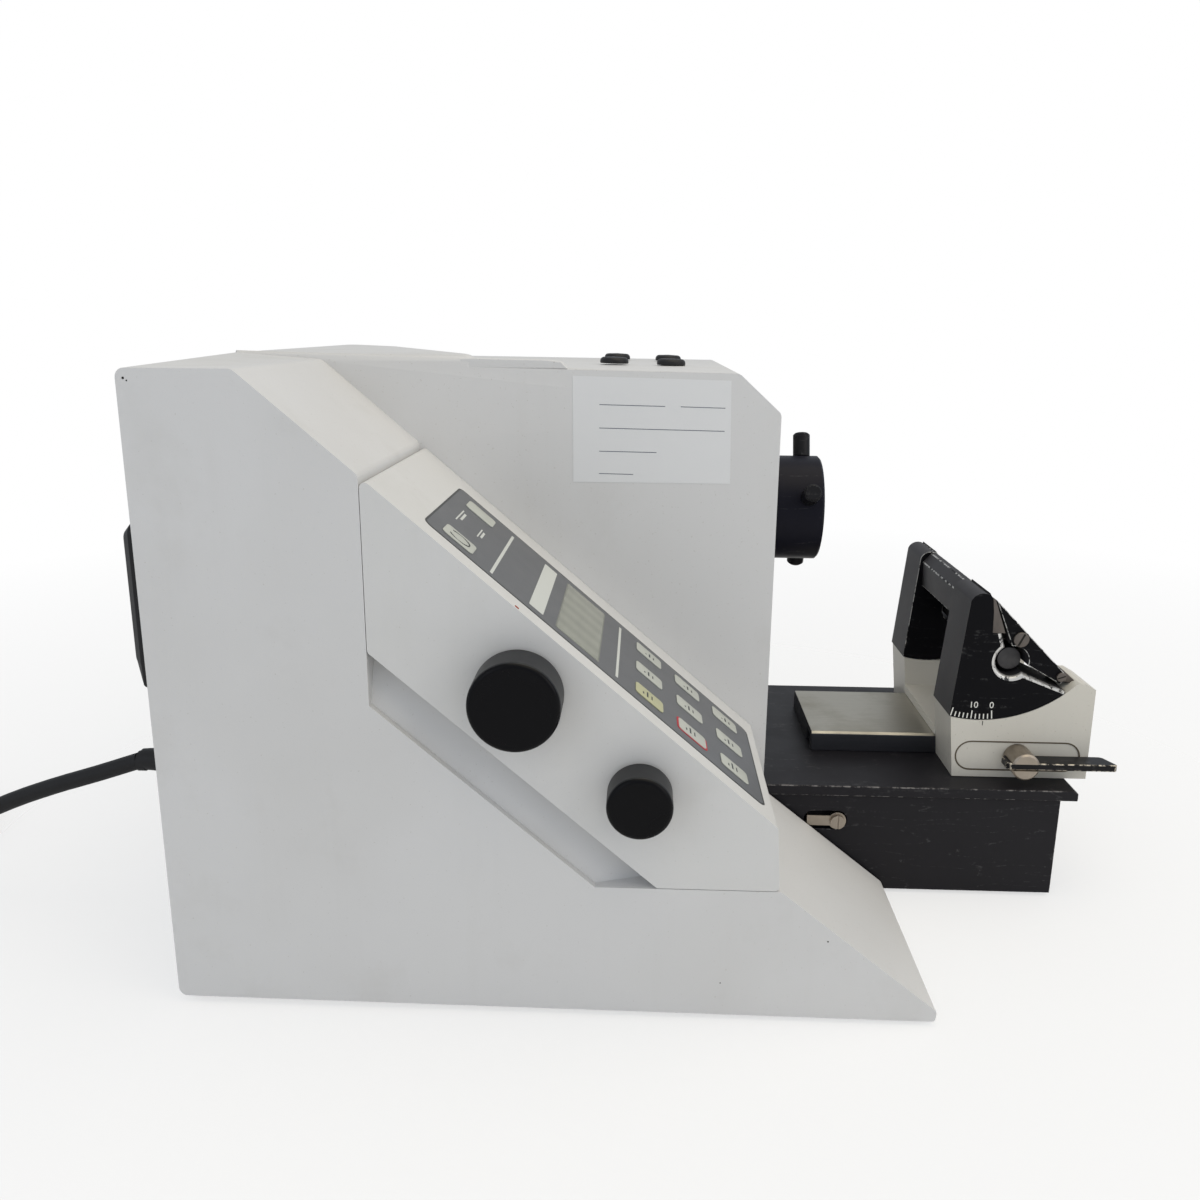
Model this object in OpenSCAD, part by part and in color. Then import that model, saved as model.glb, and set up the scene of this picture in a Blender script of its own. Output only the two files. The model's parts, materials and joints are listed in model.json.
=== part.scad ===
// Rotary microtome: housing with a side control pod, crank-driven specimen
// carriage, and a knife holder that slides on a steel guide.
// +X points to the operator's knife side, +Y to the handwheel side, +Z up.

/* [Housing] */
// Length of the housing from rear face to front wall
body_len = 286; // [270:1:310]
// Width of the whole housing, pod side to handwheel side
body_w = 345; // [335:1:365]
// Height of the side wing and of the deck's raised part
body_h = 290.5; // [284:0.5:300]
// Wall of the moulded covers
wall = 4; // [3:0.5:5]
// Rounding of the covers' outer edges
edge_r = 4; // [2:0.5:5]
// Width of the low side wing that carries the pod
wing_w = 125; // [118:1:132]
// Flat length on top of the wing, behind the slope
wing_flat = 48; // [40:1:56]
// Height of the slope where the pod ends
pod_end_h = 93.8; // [92:0.2:98]
// Height of the nose above the housing's bottom edge
nose_h = 62.5; // [56:0.5:66]
// Step from the raised top down to the front shelf
shelf_drop = 3.5; // [2:0.5:5]
// Length of the bevel at the top front corner
brow_len = 28.4; // [22:0.2:34]
// Drop of the bevel at the top front corner
brow_drop = 22; // [16:1:28]
// Depth of the hand recess under the pod
recess_depth = 14; // [10:1:16]
// Height of the hand recess, measured upright
recess_h = 24; // [18:1:28]
// Height of the rubber feet that shows under the housing
foot_h = 4; // [3:0.5:6]
// Radius of the rubber feet
foot_r = 12; // [9:0.5:15]
// Thickness of the cast floor plate
floor_t = 8; // [6:0.5:10]

/* [Control pod] */
// Distance of the pod's rear seam in front of the rear face
pod_start = 97.5; // [94:0.5:101]
// Distance of the pod's front end behind the front wall
pod_setback = 8.5; // [6:0.5:12]
// Height of the pod's end face, measured upright
pod_h = 76.8; // [72:0.2:80]
// Wall of the pod
pod_wall = 3; // [2.5:0.5:4]
// Margin between the keypad foil and the pod's front end
foil_end = 8.1; // [6:0.1:12]
// Width of the keypad foil
foil_w = 98; // [92:1:104]
// Thickness of the keypad foil
foil_t = 0.8; // [0.6:0.1:1.2]
// Height of the embossed keys
key_rise = 0.6; // [0.4:0.1:0.9]
// Radius of the coarse feed knob
big_knob_r = 19.8; // [17:0.2:22]
// Height of the coarse feed knob
big_knob_h = 22; // [18:0.5:26]
// Radius of the speed knob
small_knob_r = 14.4; // [12:0.2:16]
// Height of the speed knob
small_knob_h = 19; // [15:0.5:21]
// Radius of the knobs' shafts
knob_shaft_r = 3; // [2.5:0.1:4]

/* [Crank drive] */
// Vertical stroke of the specimen carriage
stroke = 70; // [60:1:72]
// Radius of the main shaft
shaft_r = 10; // [8:0.5:12]
// Radius of the crank disc
crank_disc_r = 45; // [42:0.5:50]
// Radius of the crank pin
crank_pin_r = 6; // [5:0.5:8]
// Radius of the handwheel
wheel_r = 78; // [70:1:86]
// Width of the handwheel's rim
rim_w = 17; // [14:1:20]
// Length of the handwheel's grip
grip_len = 52; // [44:1:60]
// Radius of the handwheel's grip
grip_r = 11; // [9:0.5:13]
// Radius of the pulley on the main shaft
big_pulley_r = 30; // [26:1:34]
// Radius of the motor's pulley
small_pulley_r = 10; // [9:1:12]
// Width of the toothed belt
belt_w = 12; // [9:1:14]
// Thickness of the toothed belt
belt_t = 2; // [1.5:0.1:2.5]
// Radius of the drive motor
motor_r = 30; // [26:1:34]

/* [Specimen feed] */
// Horizontal feed of the specimen cylinder
feed = 28; // [20:1:28]
// Radius of the specimen cylinder
ram_r = 13; // [11:0.5:14]
// Radius of the specimen head
head_r = 30.6; // [28:0.2:33]
// Thickness of the specimen head
head_t = 31; // [28:0.5:32]
// Radius of the socket that takes a specimen clamp
socket_r = 10; // [8:0.5:11]
// Depth of the socket
socket_depth = 14; // [10:1:16]
// Radius of the head's clamp screws
head_screw_r = 5; // [4:0.25:6]
// Distance of a clamp screw's end face from the head's axis
head_screw_reach = 45; // [42:0.5:50]

/* [Knife base] */
// Length of the black base block
block_len = 164; // [158:1:172]
// Height of the black base block
block_h = 54.5; // [50:0.5:58]
// Overhang of the top plate at the front
plate_lip = 8.5; // [6:0.5:10]
// Overhang of the top plate at each side
plate_side = 2; // [1:0.5:4]
// Thickness of the top plate
plate_t = 6; // [5:0.5:8]
// Width of the steel guide
guide_w = 68; // [62:1:70]
// Thickness of the steel guide
guide_t = 12; // [10:0.5:12.5]
// Length of the steel guide
guide_len = 136; // [128:1:138]

/* [Knife holder] */
// Length of the holder's base along the guide
holder_len = 78; // [75:1:80]
// Width of the holder across the guide
holder_w = 136; // [130:1:142]
// Height of the holder's cheeks at their front corner
cheek_h = 58; // [56:0.5:59]
// Radius of the tilting segment, from the knife edge
segment_r = 72; // [71:0.5:73]
// Height of the knife edge above the top plate
edge_h = 106.7; // [106:0.1:107.4]
// Radius of the keyhole in the segment
keyhole_r = 10.5; // [9.5:0.25:11]
// Radius of the clamping bar
bar_r = 8.5; // [7.5:0.25:9]
// Width of the blade slit
slit_w = 2.2; // [1.6:0.1:3]
// Radius of the clamp shaft's boss
boss_r = 7.6; // [7:0.2:8.4]
// Length of the clamp shaft's boss in front of the cheek
boss_len = 16.5; // [14:0.5:19]
// Length of the clamp lever's blade
lever_len = 60; // [50:1:64]
// Width of the clamp lever's blade
lever_w = 12; // [10:0.5:13]
// Thickness of the clamp lever's blade
lever_t = 4; // [3:0.5:5]

/* [Mains lead] */
// Radius of the mains lead
cord_r = 4.5; // [4.5:0.5:4.5]
// Depth of the fan cover behind the rear panel
fan_cover_d = 14.5; // [12:0.5:18]
// Edge length of the square fan cover
fan_cover_w = 69; // [66:1:72]

/* [Fits] */
// Radial running clearance of shafts in their bores
run_fit = 0.05; // [0.03:0.01:0.09]
// Gap between pieces that move past each other
gap = 0.3; // [0.2:0.05:0.5]

/* [Hidden] */
$fn = 48;

// Housing planes. The main shaft stands at X = 0 and the pod side is Y = 0.
front_x = 72;
rear_x = front_x - body_len;
break_x = rear_x + wing_flat;
pod_rear_x = rear_x + pod_start;
pod_front_x = front_x - pod_setback;
pod_len = pod_front_x - pod_rear_x;
tan_s = (body_h - pod_end_h) / (pod_front_x - break_x);
slope_angle = atan(tan_s);
cos_s = cos(slope_angle);
sin_s = sin(slope_angle);
function slope_z(x) = body_h - (x - break_x) * tan_s;
pod_top_z = slope_z(pod_rear_x);
pod_low_z = pod_top_z - pod_h;
pod_low_x = pod_rear_x + (pod_low_z - nose_h) / tan_s;
nose_x = pod_front_x + 3;
nose_tip_x = nose_x + nose_h / tan_s;
// Width that is left for the works between the wing and the handwheel side
works_w = body_w - wing_w;
block_w = works_w * 0.754545;
center_y = wing_w + works_w * 0.354545;
block_y0 = center_y - block_w / 2;
nose_w = min(wing_w - 6, block_y0 - plate_side - gap);
pod_w = wing_w - gap;
floor_z0 = 0.5;
floor_top = floor_z0 + floor_t;
shelf_z = body_h - shelf_drop;
crown_z = body_h + 3;
crown_front_x = rear_x + 130;
shelf_start_x = rear_x + 170;
studs_x = 17;

// Knife base and holder
block_front_x = front_x + block_len;
plate_top_z = block_h + 1 + plate_t;
guide_x0 = front_x + 33;
guide_top_z = plate_top_z + guide_t;
holder_x0 = front_x + 104;
holder_y0 = center_y - holder_w / 2;
cheek_w = (holder_w - guide_w) / 2 - gap;
holder_z0 = plate_top_z + gap;
pivot_x = holder_x0 + 15.5;
pivot_z = plate_top_z + edge_h;
bar_x = pivot_x + 13.7;
bar_z = pivot_z - 38;
boss_x = holder_x0 + 38.5;
boss_z = holder_z0 + 12.8;
lever_tip_x = boss_x - 10 + lever_len;
lever_y1 = holder_y0 - boss_len + lever_w + 1.5;

// Specimen head and cylinder, at rest at the top of the stroke and fully back
head_z = body_h - 86.9;
head_rear_x = front_x + 2.5;
head_front_x = head_rear_x + head_t;
head_turn = 20;
screw_x = head_front_x - 9;

// Crank drive
shaft_z = head_z - stroke / 2;
crank_y0 = center_y + 44;
// The drive fills the width between the carriage and the right cover
drive_k = (body_w - wall - crank_y0 - 9.5) / 84.5;
crank_t = 10 * drive_k;
shaft_end_y = body_w + 34;
wheel_y0 = body_w + 8;
grip_x = wheel_r - 19;
grip_y0 = wheel_y0 + rim_w + 2;
motor_x = -112;
motor_z = 88;
frame_rear_x = -22;
frame_front_x = 16;
rail_t = 9;
carriage_x0 = frame_front_x + rail_t + gap;
carriage_x1 = front_x - 10;
carriage_w = 64;
column_gap = 34;

// Lock lever's pivot
lock_x = 44;
lock_z = shaft_z * 0.391459;
lock_r = 5;

// Rear fittings
fan_y0 = 20;
fan_z0 = body_h - 137.5;
fan_y = fan_y0 + fan_cover_w / 2;
fan_z = fan_z0 + fan_cover_w / 2;
fan_back_x = rear_x - fan_cover_d;
inlet_y = 80;
inlet_z = 86;
switch_y = 120;

// Origin of the part: middle of its outline seen from above, on the table
knob_face_y = -big_knob_h;
grip_end_y = grip_y0 + grip_len;
origin_x = (fan_back_x + lever_tip_x) / 2;
origin_y = (knob_face_y + grip_end_y) / 2;

// Route of the mains lead, from the connector's strain relief to the coil, and from the coil to the plug
cord_route = [[-262, 80, 84], [-285, 80, 80], [-310, 80, 72], [-335, 80, 61], [-358, 80, 47.5],
    [-380, 80.2, 31.5], [-400, 81, 16], [-417, 83, 5.5], [-432, 85.6, 1.3], [-447, 87.4, 0.5], [-457, 87.9, 0.5]];
tail_route = [[-412, 131, 9.5], [-416.3, 115.4, 9.9], [-424, 100, 10.6], [-432.5, 86, 10.9], [-439, 73, 9.2],
    [-443.5, 64, 7.4], [-446, 56, 6.4], [-447, 45, 6]];
coil_center = [-468, 146];
coil_mean_r = 49;
coil_rows = 3;
coil_tiers = 2;

module place() {
    translate([-origin_x, -origin_y, foot_h]) children();
}

// Upright profile in X and Z, made solid from y0 to y1
module profile(y0, y1) {
    translate([0, y1, 0]) rotate([90, 0, 0]) linear_extrude(y1 - y0) children();
}

// Convex profile with its edges rounded on the y0 face, and on the y1 face if asked
module soft_prism(points, y0, y1, r, both = false) {
    steps = 3;
    hull() {
        for (i = [0 : steps]) {
            a = 90 * i / steps;
            profile(y0 + r * (1 - sin(a)), y0 + r * (1 - sin(a)) + 0.01)
                offset(r = r, $fn = 20) offset(delta = -r - r * (1 - cos(90 - a))) polygon(points);
            if (both) profile(y1 - r * (1 - sin(a)) - 0.01, y1 - r * (1 - sin(a)))
                offset(r = r, $fn = 20) offset(delta = -r - r * (1 - cos(90 - a))) polygon(points);
        }
        if (!both) profile(y1 - 0.01, y1) offset(r = r, $fn = 20) offset(delta = -r) polygon(points);
    }
}

// Cylinder along Y, X or Z between two places
module bar_y(x, z, y0, y1, r, fn = 48) {
    translate([x, y1, z]) rotate([90, 0, 0]) cylinder(r = r, h = y1 - y0, $fn = fn);
}
module bar_x(y, z, x0, x1, r, fn = 48) {
    translate([x0, y, z]) rotate([0, 90, 0]) cylinder(r = r, h = x1 - x0, $fn = fn);
}
module block(x0, x1, y0, y1, z0, z1) {
    translate([x0, y0, z0]) cube([x1 - x0, y1 - y0, z1 - z0]);
}

// Frame on the pod's slope: x runs down the slope, z stands out from it
module on_slope() {
    translate([pod_rear_x, 0, pod_top_z]) rotate([0, slope_angle, 0]) children();
}

// Housing outlines
wing_rear = [[rear_x, 0], [rear_x, body_h], [break_x, body_h], [pod_rear_x, pod_top_z], [pod_rear_x, 0]];
under_z = pod_low_z - recess_h;
lap = 34;
wing_wedge = [[pod_rear_x - lap, 0], [pod_rear_x - lap, under_z + lap * tan_s],
    [pod_rear_x + under_z / tan_s, 0]];
wing_floor = [[pod_rear_x - lap, 0], [pod_rear_x - lap, pod_low_z + lap * tan_s],
    [pod_rear_x + pod_low_z / tan_s, 0]];
nose = [[pod_low_x - lap, 0], [pod_low_x - lap, nose_h], [nose_x, nose_h], [nose_tip_x, 0]];
upper = [[rear_x, 0], [rear_x, shelf_z], [front_x - brow_len, shelf_z], [front_x, shelf_z - brow_drop],
    [front_x, 0]];
crown_plan = [[rear_x, wing_w], [crown_front_x, wing_w], [crown_front_x - 34, wing_w + works_w * 0.341],
    [crown_front_x - 80, wing_w + works_w * 0.795],
    [rear_x + 12, body_w], [rear_x, body_w]];
pod_outline = [[pod_rear_x, pod_top_z], [pod_front_x, slope_z(pod_front_x)],
    [pod_front_x + 2, nose_h + gap], [pod_low_x, nose_h + gap], [pod_rear_x, pod_low_z]];

module crown() {
    hull() {
        for (i = [0 : 3]) {
            a = 30 * i;
            translate([0, 0, shelf_z - 1]) linear_extrude(crown_z - shelf_z + 1 - edge_r * (1 - cos(a)))
                offset(r = edge_r, $fn = 20) offset(delta = -edge_r - edge_r * (1 - sin(a))) polygon(crown_plan);
        }
    }
}

module cover_outside() {
    soft_prism(wing_rear, 0, wing_w, edge_r);
    soft_prism(wing_wedge, 0, wing_w, edge_r);
    hull() {
        profile(recess_depth * 0.3, recess_depth * 0.3 + 0.01) polygon(wing_wedge);
        profile(recess_depth, wing_w - 0.01) polygon(wing_floor);
    }
    soft_prism(nose, 0, nose_w, edge_r * 0.6);
    soft_prism(upper, wing_w, body_w, edge_r, true);
    crown();
    // low rim that keeps tools on the shelf
    block(crown_front_x, shelf_start_x - shelf_drop, wing_w + 1, wing_w + 7, shelf_z - 1, body_h);
}

// Hollow of the cover, one wall inside every face and open below
module cover_inside() {
    profile(wall, recess_depth + wall) offset(delta = -wall) union() {
        polygon(wing_rear);
        polygon(wing_wedge);
    }
    profile(recess_depth + wall, wing_w + wall) offset(delta = -wall) union() {
        polygon(wing_rear);
        polygon(wing_floor);
    }
    profile(wall, nose_w - wall) offset(delta = -wall) polygon(nose);
    profile(wing_w + wall, body_w - wall + 0.01) offset(delta = -wall) polygon(upper);
    block(rear_x + wall, nose_tip_x - 3 * wall, wall, nose_w - wall, -1, wall + 0.01);
    block(rear_x + wall, front_x - wall, nose_w - wall - 0.01, body_w - wall + 0.01, -1, wall + 0.01);
}

slot_w = 2 * ram_r + 6;
slot_low_z = head_z - stroke - slot_w / 2;
slot_high_z = head_z + slot_w / 2;
panel_y0 = 9;
panel_y1 = body_w - wall - 5;
panel_z0 = 12;
panel_z1 = body_h - 28.5;

module main_cover() {
    color([0.80, 0.80, 0.77]) difference() {
        cover_outside();
        cover_inside();
        // room for the knife base beside the nose
        block(front_x, nose_tip_x + 1, nose_w, wing_w + 1, -1, nose_h);
        // side opening that the right cover closes
        profile(body_w - wall, body_w + 1) offset(delta = -wall - 2) polygon(upper);
        // rear opening that the panel closes
        block(rear_x - 1, rear_x + wall + 1, panel_y0, panel_y1, panel_z0, panel_z1);
        // slot for the specimen cylinder, with round ends
        block(front_x - wall - 1, front_x + 1, center_y - slot_w / 2, center_y + slot_w / 2,
            slot_low_z + slot_w / 2, slot_high_z - slot_w / 2);
        bar_x(center_y, slot_low_z + slot_w / 2, front_x - wall - 1, front_x + 1, slot_w / 2);
        bar_x(center_y, slot_high_z - slot_w / 2, front_x - wall - 1, front_x + 1, slot_w / 2);
    }
}

module right_cover() {
    color([0.80, 0.80, 0.77]) difference() {
        union() {
            profile(body_w - wall, body_w - 0.5) offset(delta = -wall - 2 - gap) polygon(upper);
            bar_y(0, shaft_z, body_w - wall, body_w + 5, 26);
        }
        bar_y(0, shaft_z, body_w - wall - 1, body_w + 6, shaft_r + 1.5);
        bar_y(lock_x, lock_z, body_w - wall - 1, body_w + 1, lock_r + run_fit);
    }
}

module floor_plate() {
    color([0.25, 0.26, 0.27]) {
        block(rear_x + wall + gap, front_x - wall - gap, nose_w - 2 * wall, body_w - wall - gap,
            floor_z0, floor_top);
        block(rear_x + wall + gap, nose_tip_x - 4 * wall, wall + gap, nose_w - wall - gap, floor_z0, floor_top);
    }
}

feet = [[rear_x + 28, 30], [rear_x + 28, body_w - 34], [nose_tip_x - 46, 30],
    [block_front_x - 22, block_y0 + 22], [block_front_x - 22, block_y0 + block_w - 22]];
module rubber_feet() {
    color([0.08, 0.08, 0.08]) for (p = feet)
        translate([p[0], p[1], -foot_h]) cylinder(r1 = foot_r - 1.5, r2 = foot_r, h = foot_h + floor_z0);
}

vent_count = 9;
vent_pitch = 9;
module rear_panel() {
    color([0.62, 0.63, 0.62]) difference() {
        block(rear_x, rear_x + 3, panel_y0 + gap, panel_y1 - gap, panel_z0 + gap, panel_z1 - gap);
        bar_x(fan_y, fan_z, rear_x - 1, rear_x + 4, fan_cover_w / 2 - 6);
        block(rear_x - 1, rear_x + 4, inlet_y - 14, inlet_y + 14, inlet_z - 10, inlet_z + 10);
        block(rear_x - 1, rear_x + 4, switch_y - 7, switch_y + 7, inlet_z - 11, inlet_z + 11);
        for (i = [0 : vent_count - 1]) block(rear_x - 1, rear_x + 4, switch_y + 70, body_w - 55,
            60 + i * vent_pitch, 63 + i * vent_pitch);
    }
}

// Control pod on the wing's slope
foil_s0 = 32;
foil_y0 = (pod_w - foil_w) / 2;
foil_len = pod_len / cos_s - foil_s0 - foil_end;
foil_k = foil_len / 197;
knob_one_x = pod_rear_x + pod_len * 0.364444;
knob_two_x = pod_rear_x + pod_len * 0.658333;
knob_one = [knob_one_x, slope_z(knob_one_x) - 36.45];
knob_two = [knob_two_x, slope_z(knob_two_x) - 36.51];
display = [foil_s0 + 73 * foil_k, foil_s0 + 97 * foil_k, foil_y0 + 10, foil_y0 + 88];

module control_pod() {
    cap = [[pod_rear_x + gap, pod_top_z - gap * tan_s], each [for (i = [1 : 3]) pod_outline[i]],
        [pod_rear_x + gap, pod_low_z + gap]];
    color([0.81, 0.80, 0.76]) difference() {
        soft_prism(cap, 0, pod_w, edge_r * 0.6);
        // hollow, one wall inside the sides and open towards the wing
        profile(pod_wall, pod_w - pod_wall) polygon([
            [pod_rear_x + pod_wall, pod_top_z - pod_wall * (1 + tan_s)],
            [pod_front_x - pod_wall, slope_z(pod_front_x - pod_wall) - pod_wall / cos_s],
            [pod_front_x - pod_wall, nose_h + 1], [pod_low_x, nose_h + 1],
            [pod_rear_x + pod_wall, pod_low_z]]);
        on_slope() translate([foil_s0, foil_y0, -foil_t]) cube([foil_len, foil_w, 5]);
        on_slope() translate([display[0], display[2], -pod_wall - 1])
            cube([display[1] - display[0], display[3] - display[2], 5]);
        for (k = [knob_one, knob_two]) bar_y(k[0], k[1], -1, pod_wall + 1, knob_shaft_r + 0.5);
    }
}

key_len = 15 * foil_k;
key_w = 23;
key_s0 = foil_s0 + 120 * foil_k;
key_step_s = 26.9 * foil_k;
key_y0 = foil_y0 + 7;
key_step_y = 31.5;
module key(s, y, len, w) {
    translate([s, y, -0.01]) linear_extrude(key_rise) offset(r = 2, $fn = 16)
        translate([2, 2]) square([len - 4, w - 4]);
}
module keypad_foil() {
    color([0.36, 0.37, 0.38]) on_slope() difference() {
        union() {
            translate([foil_s0 + gap, foil_y0 + gap, -foil_t]) linear_extrude(foil_t)
                offset(r = 4, $fn = 16) translate([4, 4])
                square([foil_len - 8 - 2 * gap, foil_w - 8 - 2 * gap]);
            for (i = [0 : 2], j = [0 : 2]) key(key_s0 + i * key_step_s, key_y0 + j * key_step_y, key_len, key_w);
            key(foil_s0 + 10 * foil_k, foil_y0 + 8, 16 * foil_k, 30);
            key(foil_s0 + 10 * foil_k, foil_y0 + 56, 16 * foil_k, 30);
        }
        translate([display[0], display[2], -2]) cube([display[1] - display[0], display[3] - display[2], 5]);
    }
}
module display_window() {
    color([0.55, 0.53, 0.45]) on_slope()
        translate([display[0] + 0.15, display[2] + 0.15, -pod_wall])
        cube([display[1] - display[0] - 0.3, display[3] - display[2] - 0.3, pod_wall - 0.2]);
}
module control_board() {
    color([0.10, 0.35, 0.18]) on_slope() {
        translate([foil_s0 + 6, foil_y0, -pod_wall - 9]) cube([foil_len - 30, foil_w, 1.6]);
        // posts that hold the board under the pod's top
        for (s = [foil_s0 + 12, foil_s0 + foil_len - 38], y = [foil_y0 + 6, foil_y0 + foil_w - 6])
            translate([s, y, -pod_wall - 7.4]) cylinder(r = 3, h = 7.2);
        translate([display[0] + 2, display[2] + 4, -pod_wall - 7.4])
            cube([display[1] - display[0] - 4, display[3] - display[2] - 8, 7.2]);
    }
}
module knob_encoders() {
    color([0.30, 0.31, 0.33]) for (k = [knob_one, knob_two]) difference() {
        union() {
            block(k[0] - 9, k[0] + 9, pod_wall, pod_wall + 14, k[1] - 9, k[1] + 9);
            bar_y(k[0], k[1], pod_wall, pod_wall + 20, 7);
        }
        bar_y(k[0], k[1], pod_wall - 1, pod_wall + 15, knob_shaft_r + run_fit);
    }
}

// Turned knob on its shaft, with a rounded rim and a fine collar at its foot
module knob(at, r, h) {
    translate([at[0], 0, at[1]]) rotate([90, 0, 0]) {
        rotate_extrude($fn = 72) polygon([[0, 0.6], [r - 1.6, 0.6], [r - 1.6, 2], [r, 2.4],
            each [for (a = [0 : 15 : 90]) [r - 2.4 + 2.4 * cos(a), h - 2.4 + 2.4 * sin(a)]], [0, h]]);
        translate([0, 0, -pod_wall - 13]) cylinder(r = knob_shaft_r, h = pod_wall + 15);
    }
}
module coarse_feed_knob() color([0.05, 0.05, 0.06]) knob(knob_one, big_knob_r, big_knob_h);
module speed_knob() color([0.05, 0.05, 0.06]) knob(knob_two, small_knob_r, small_knob_h);

module top_studs() {
    color([0.05, 0.05, 0.05]) for (x = [-studs_x, studs_x], y = [center_y + 17, center_y + 95])
        translate([x, y, shelf_z]) rotate_extrude($fn = 40) polygon([[0, 0], [8.5, 0], [8.5, 1.2],
            each [for (a = [0 : 15 : 90]) [8.5 - 2.4 + 2.4 * cos(a), 1.2 + 2.4 * sin(a)]], [0, 3.9]]);
}

// Rear fittings
module fan_cover() {
    color([0.07, 0.07, 0.07]) difference() {
        hull() {
            translate([rear_x, fan_y, fan_z]) rotate([0, -90, 0]) linear_extrude(fan_cover_d - 4)
                offset(r = 5, $fn = 20) square(fan_cover_w - 10, center = true);
            translate([rear_x, fan_y, fan_z]) rotate([0, -90, 0]) linear_extrude(fan_cover_d)
                offset(r = 3, $fn = 20) square(fan_cover_w - 14, center = true);
        }
        block(fan_back_x + 2.5, rear_x + 1, fan_y0 + 3, fan_y0 + fan_cover_w - 3, fan_z0 + 3,
            fan_z0 + fan_cover_w - 3);
        for (i = [-4 : 4]) block(fan_back_x - 1, fan_back_x + 3, fan_y0 + 10, fan_y0 + fan_cover_w - 10,
            fan_z + i * 6 - 1.5, fan_z + i * 6 + 1.5);
    }
}
module fan_rotor() {
    color([0.12, 0.12, 0.13]) {
        bar_x(fan_y, fan_z, rear_x - 8, rear_x + 2, 11);
        for (a = [0 : 60 : 300]) translate([rear_x - 7, fan_y, fan_z]) rotate([a, 0, 0])
            translate([0, 9, -1]) rotate([0, 0, 0]) cube([8, 15, 1.6]);
    }
}
module fan_frame() {
    color([0.10, 0.10, 0.11]) {
        bar_x(fan_y, fan_z, rear_x + 2 + gap, rear_x + 14, 11);
        for (a = [45 : 90 : 315]) translate([rear_x + 10, fan_y, fan_z]) rotate([a, 0, 0])
            translate([0, 8, -2]) cube([4, fan_cover_w / 2 - 6, 4]);
    }
    color([0.10, 0.10, 0.11]) difference() {
        block(rear_x + 3, rear_x + 14, fan_y0 - 1, fan_y0 + fan_cover_w + 1, fan_z0 - 1, fan_z0 + fan_cover_w + 1);
        bar_x(fan_y, fan_z, rear_x + 2, rear_x + 15, fan_cover_w / 2 - 4);
    }
}
module power_inlet() {
    color([0.06, 0.06, 0.06]) difference() {
        union() {
            block(rear_x - 2, rear_x, inlet_y - 17, inlet_y + 17, inlet_z - 13, inlet_z + 13);
            block(rear_x, rear_x + 26, inlet_y - 13.7, inlet_y + 13.7, inlet_z - 9.7, inlet_z + 9.7);
        }
        block(rear_x - 3, rear_x + 18, inlet_y - 12, inlet_y + 12, inlet_z - 8, inlet_z + 8);
    }
}
module power_switch() {
    color([0.10, 0.10, 0.10]) {
        translate([rear_x + 3, switch_y - 5.5, inlet_z]) rotate([90, 0, 180]) linear_extrude(11)
            polygon([[0, -9], [6.5, -9.2], [4, 0], [6.5, 9.2], [0, 9], [-3, 0]]);
        bar_y(rear_x + 2, inlet_z, switch_y - 6.8, switch_y + 6.8, 1.2);
    }
}

module transformer() {
    color([0.45, 0.32, 0.18]) {
        block(rear_x + 30, rear_x + 110, 30, 100, floor_top, 62);
        block(rear_x + 38, rear_x + 102, 22, 108, 16, 54);
    }
}

// Drive: frame, rails, shaft, crank, belt
pedestal_y0 = crank_y0 + crank_t + 5 * drive_k;
pedestal_y1 = pedestal_y0 + 40 * drive_k;
pulley_y0 = pedestal_y1 + 13 * drive_k;
pulley_w = (belt_w + 3) * drive_k;
flange_t = 1.5 * drive_k;
bearing_r = 15;
bearing_w = 9 * drive_k;
bearing_seats = [pedestal_y0 + 1, pedestal_y1 - 1 - bearing_w];
column_z1 = body_h - 32.5;
column_y = [[center_y - 42, center_y - column_gap / 2], [center_y + column_gap / 2, center_y + 30]];
module main_frame() {
    color([0.36, 0.38, 0.40]) difference() {
        union() {
            block(frame_rear_x - 40, frame_front_x + 26, center_y - 50, pedestal_y1, floor_top, 26);
            for (c = column_y) block(frame_rear_x, frame_front_x, c[0], c[1], 25.9, column_z1);
            // ribs behind the columns
            for (c = column_y) profile(c[0] + 2, c[0] + 10) polygon([[frame_rear_x + 0.1, 25.9],
                [frame_rear_x + 0.1, column_z1 - 88], [frame_rear_x - 38, 25.9]]);
            // pedestal of the main shaft, rounded at its top
            block(-30, 30, pedestal_y0, pedestal_y1, 25.9, shaft_z);
            bar_y(0, shaft_z, pedestal_y0, pedestal_y1, 30);
        }
        bar_y(0, shaft_z, pedestal_y0 - 1, pedestal_y1 + 1, shaft_r + 2);
        for (y = bearing_seats) bar_y(0, shaft_z, y - (y == bearing_seats[0] ? 2 : 0),
            y + bearing_w + (y == bearing_seats[1] ? 2 : 0), bearing_r);
    }
}
rail_z0 = 60;
rail_z1 = column_z1 - 4;
rail_y = [center_y - 34, center_y + column_gap / 2 + 1];
rail_w = 11;
module guide_rails() {
    color([0.70, 0.71, 0.73]) for (y = rail_y) difference() {
        block(frame_front_x, frame_front_x + rail_t, y, y + rail_w, rail_z0, rail_z1);
        // running grooves along both flanks
        for (side = [0, 1]) translate([frame_front_x + rail_t * 0.55, y + side * rail_w, rail_z0 - 1])
            rotate([0, 0, 45]) cube([2.4, 2.4, 2 * (rail_z1 - rail_z0 + 2)], center = true);
    }
}
module shaft_bearings() {
    color([0.66, 0.67, 0.68]) for (y = bearing_seats) difference() {
        bar_y(0, shaft_z, y, y + bearing_w, bearing_r);
        bar_y(0, shaft_z, y - 1, y + bearing_w + 1, shaft_r + run_fit);
    }
}
module main_shaft() {
    color([0.75, 0.76, 0.78]) bar_y(0, shaft_z, crank_y0 + crank_t, shaft_end_y, shaft_r);
}
crank_r = stroke / 2;
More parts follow.
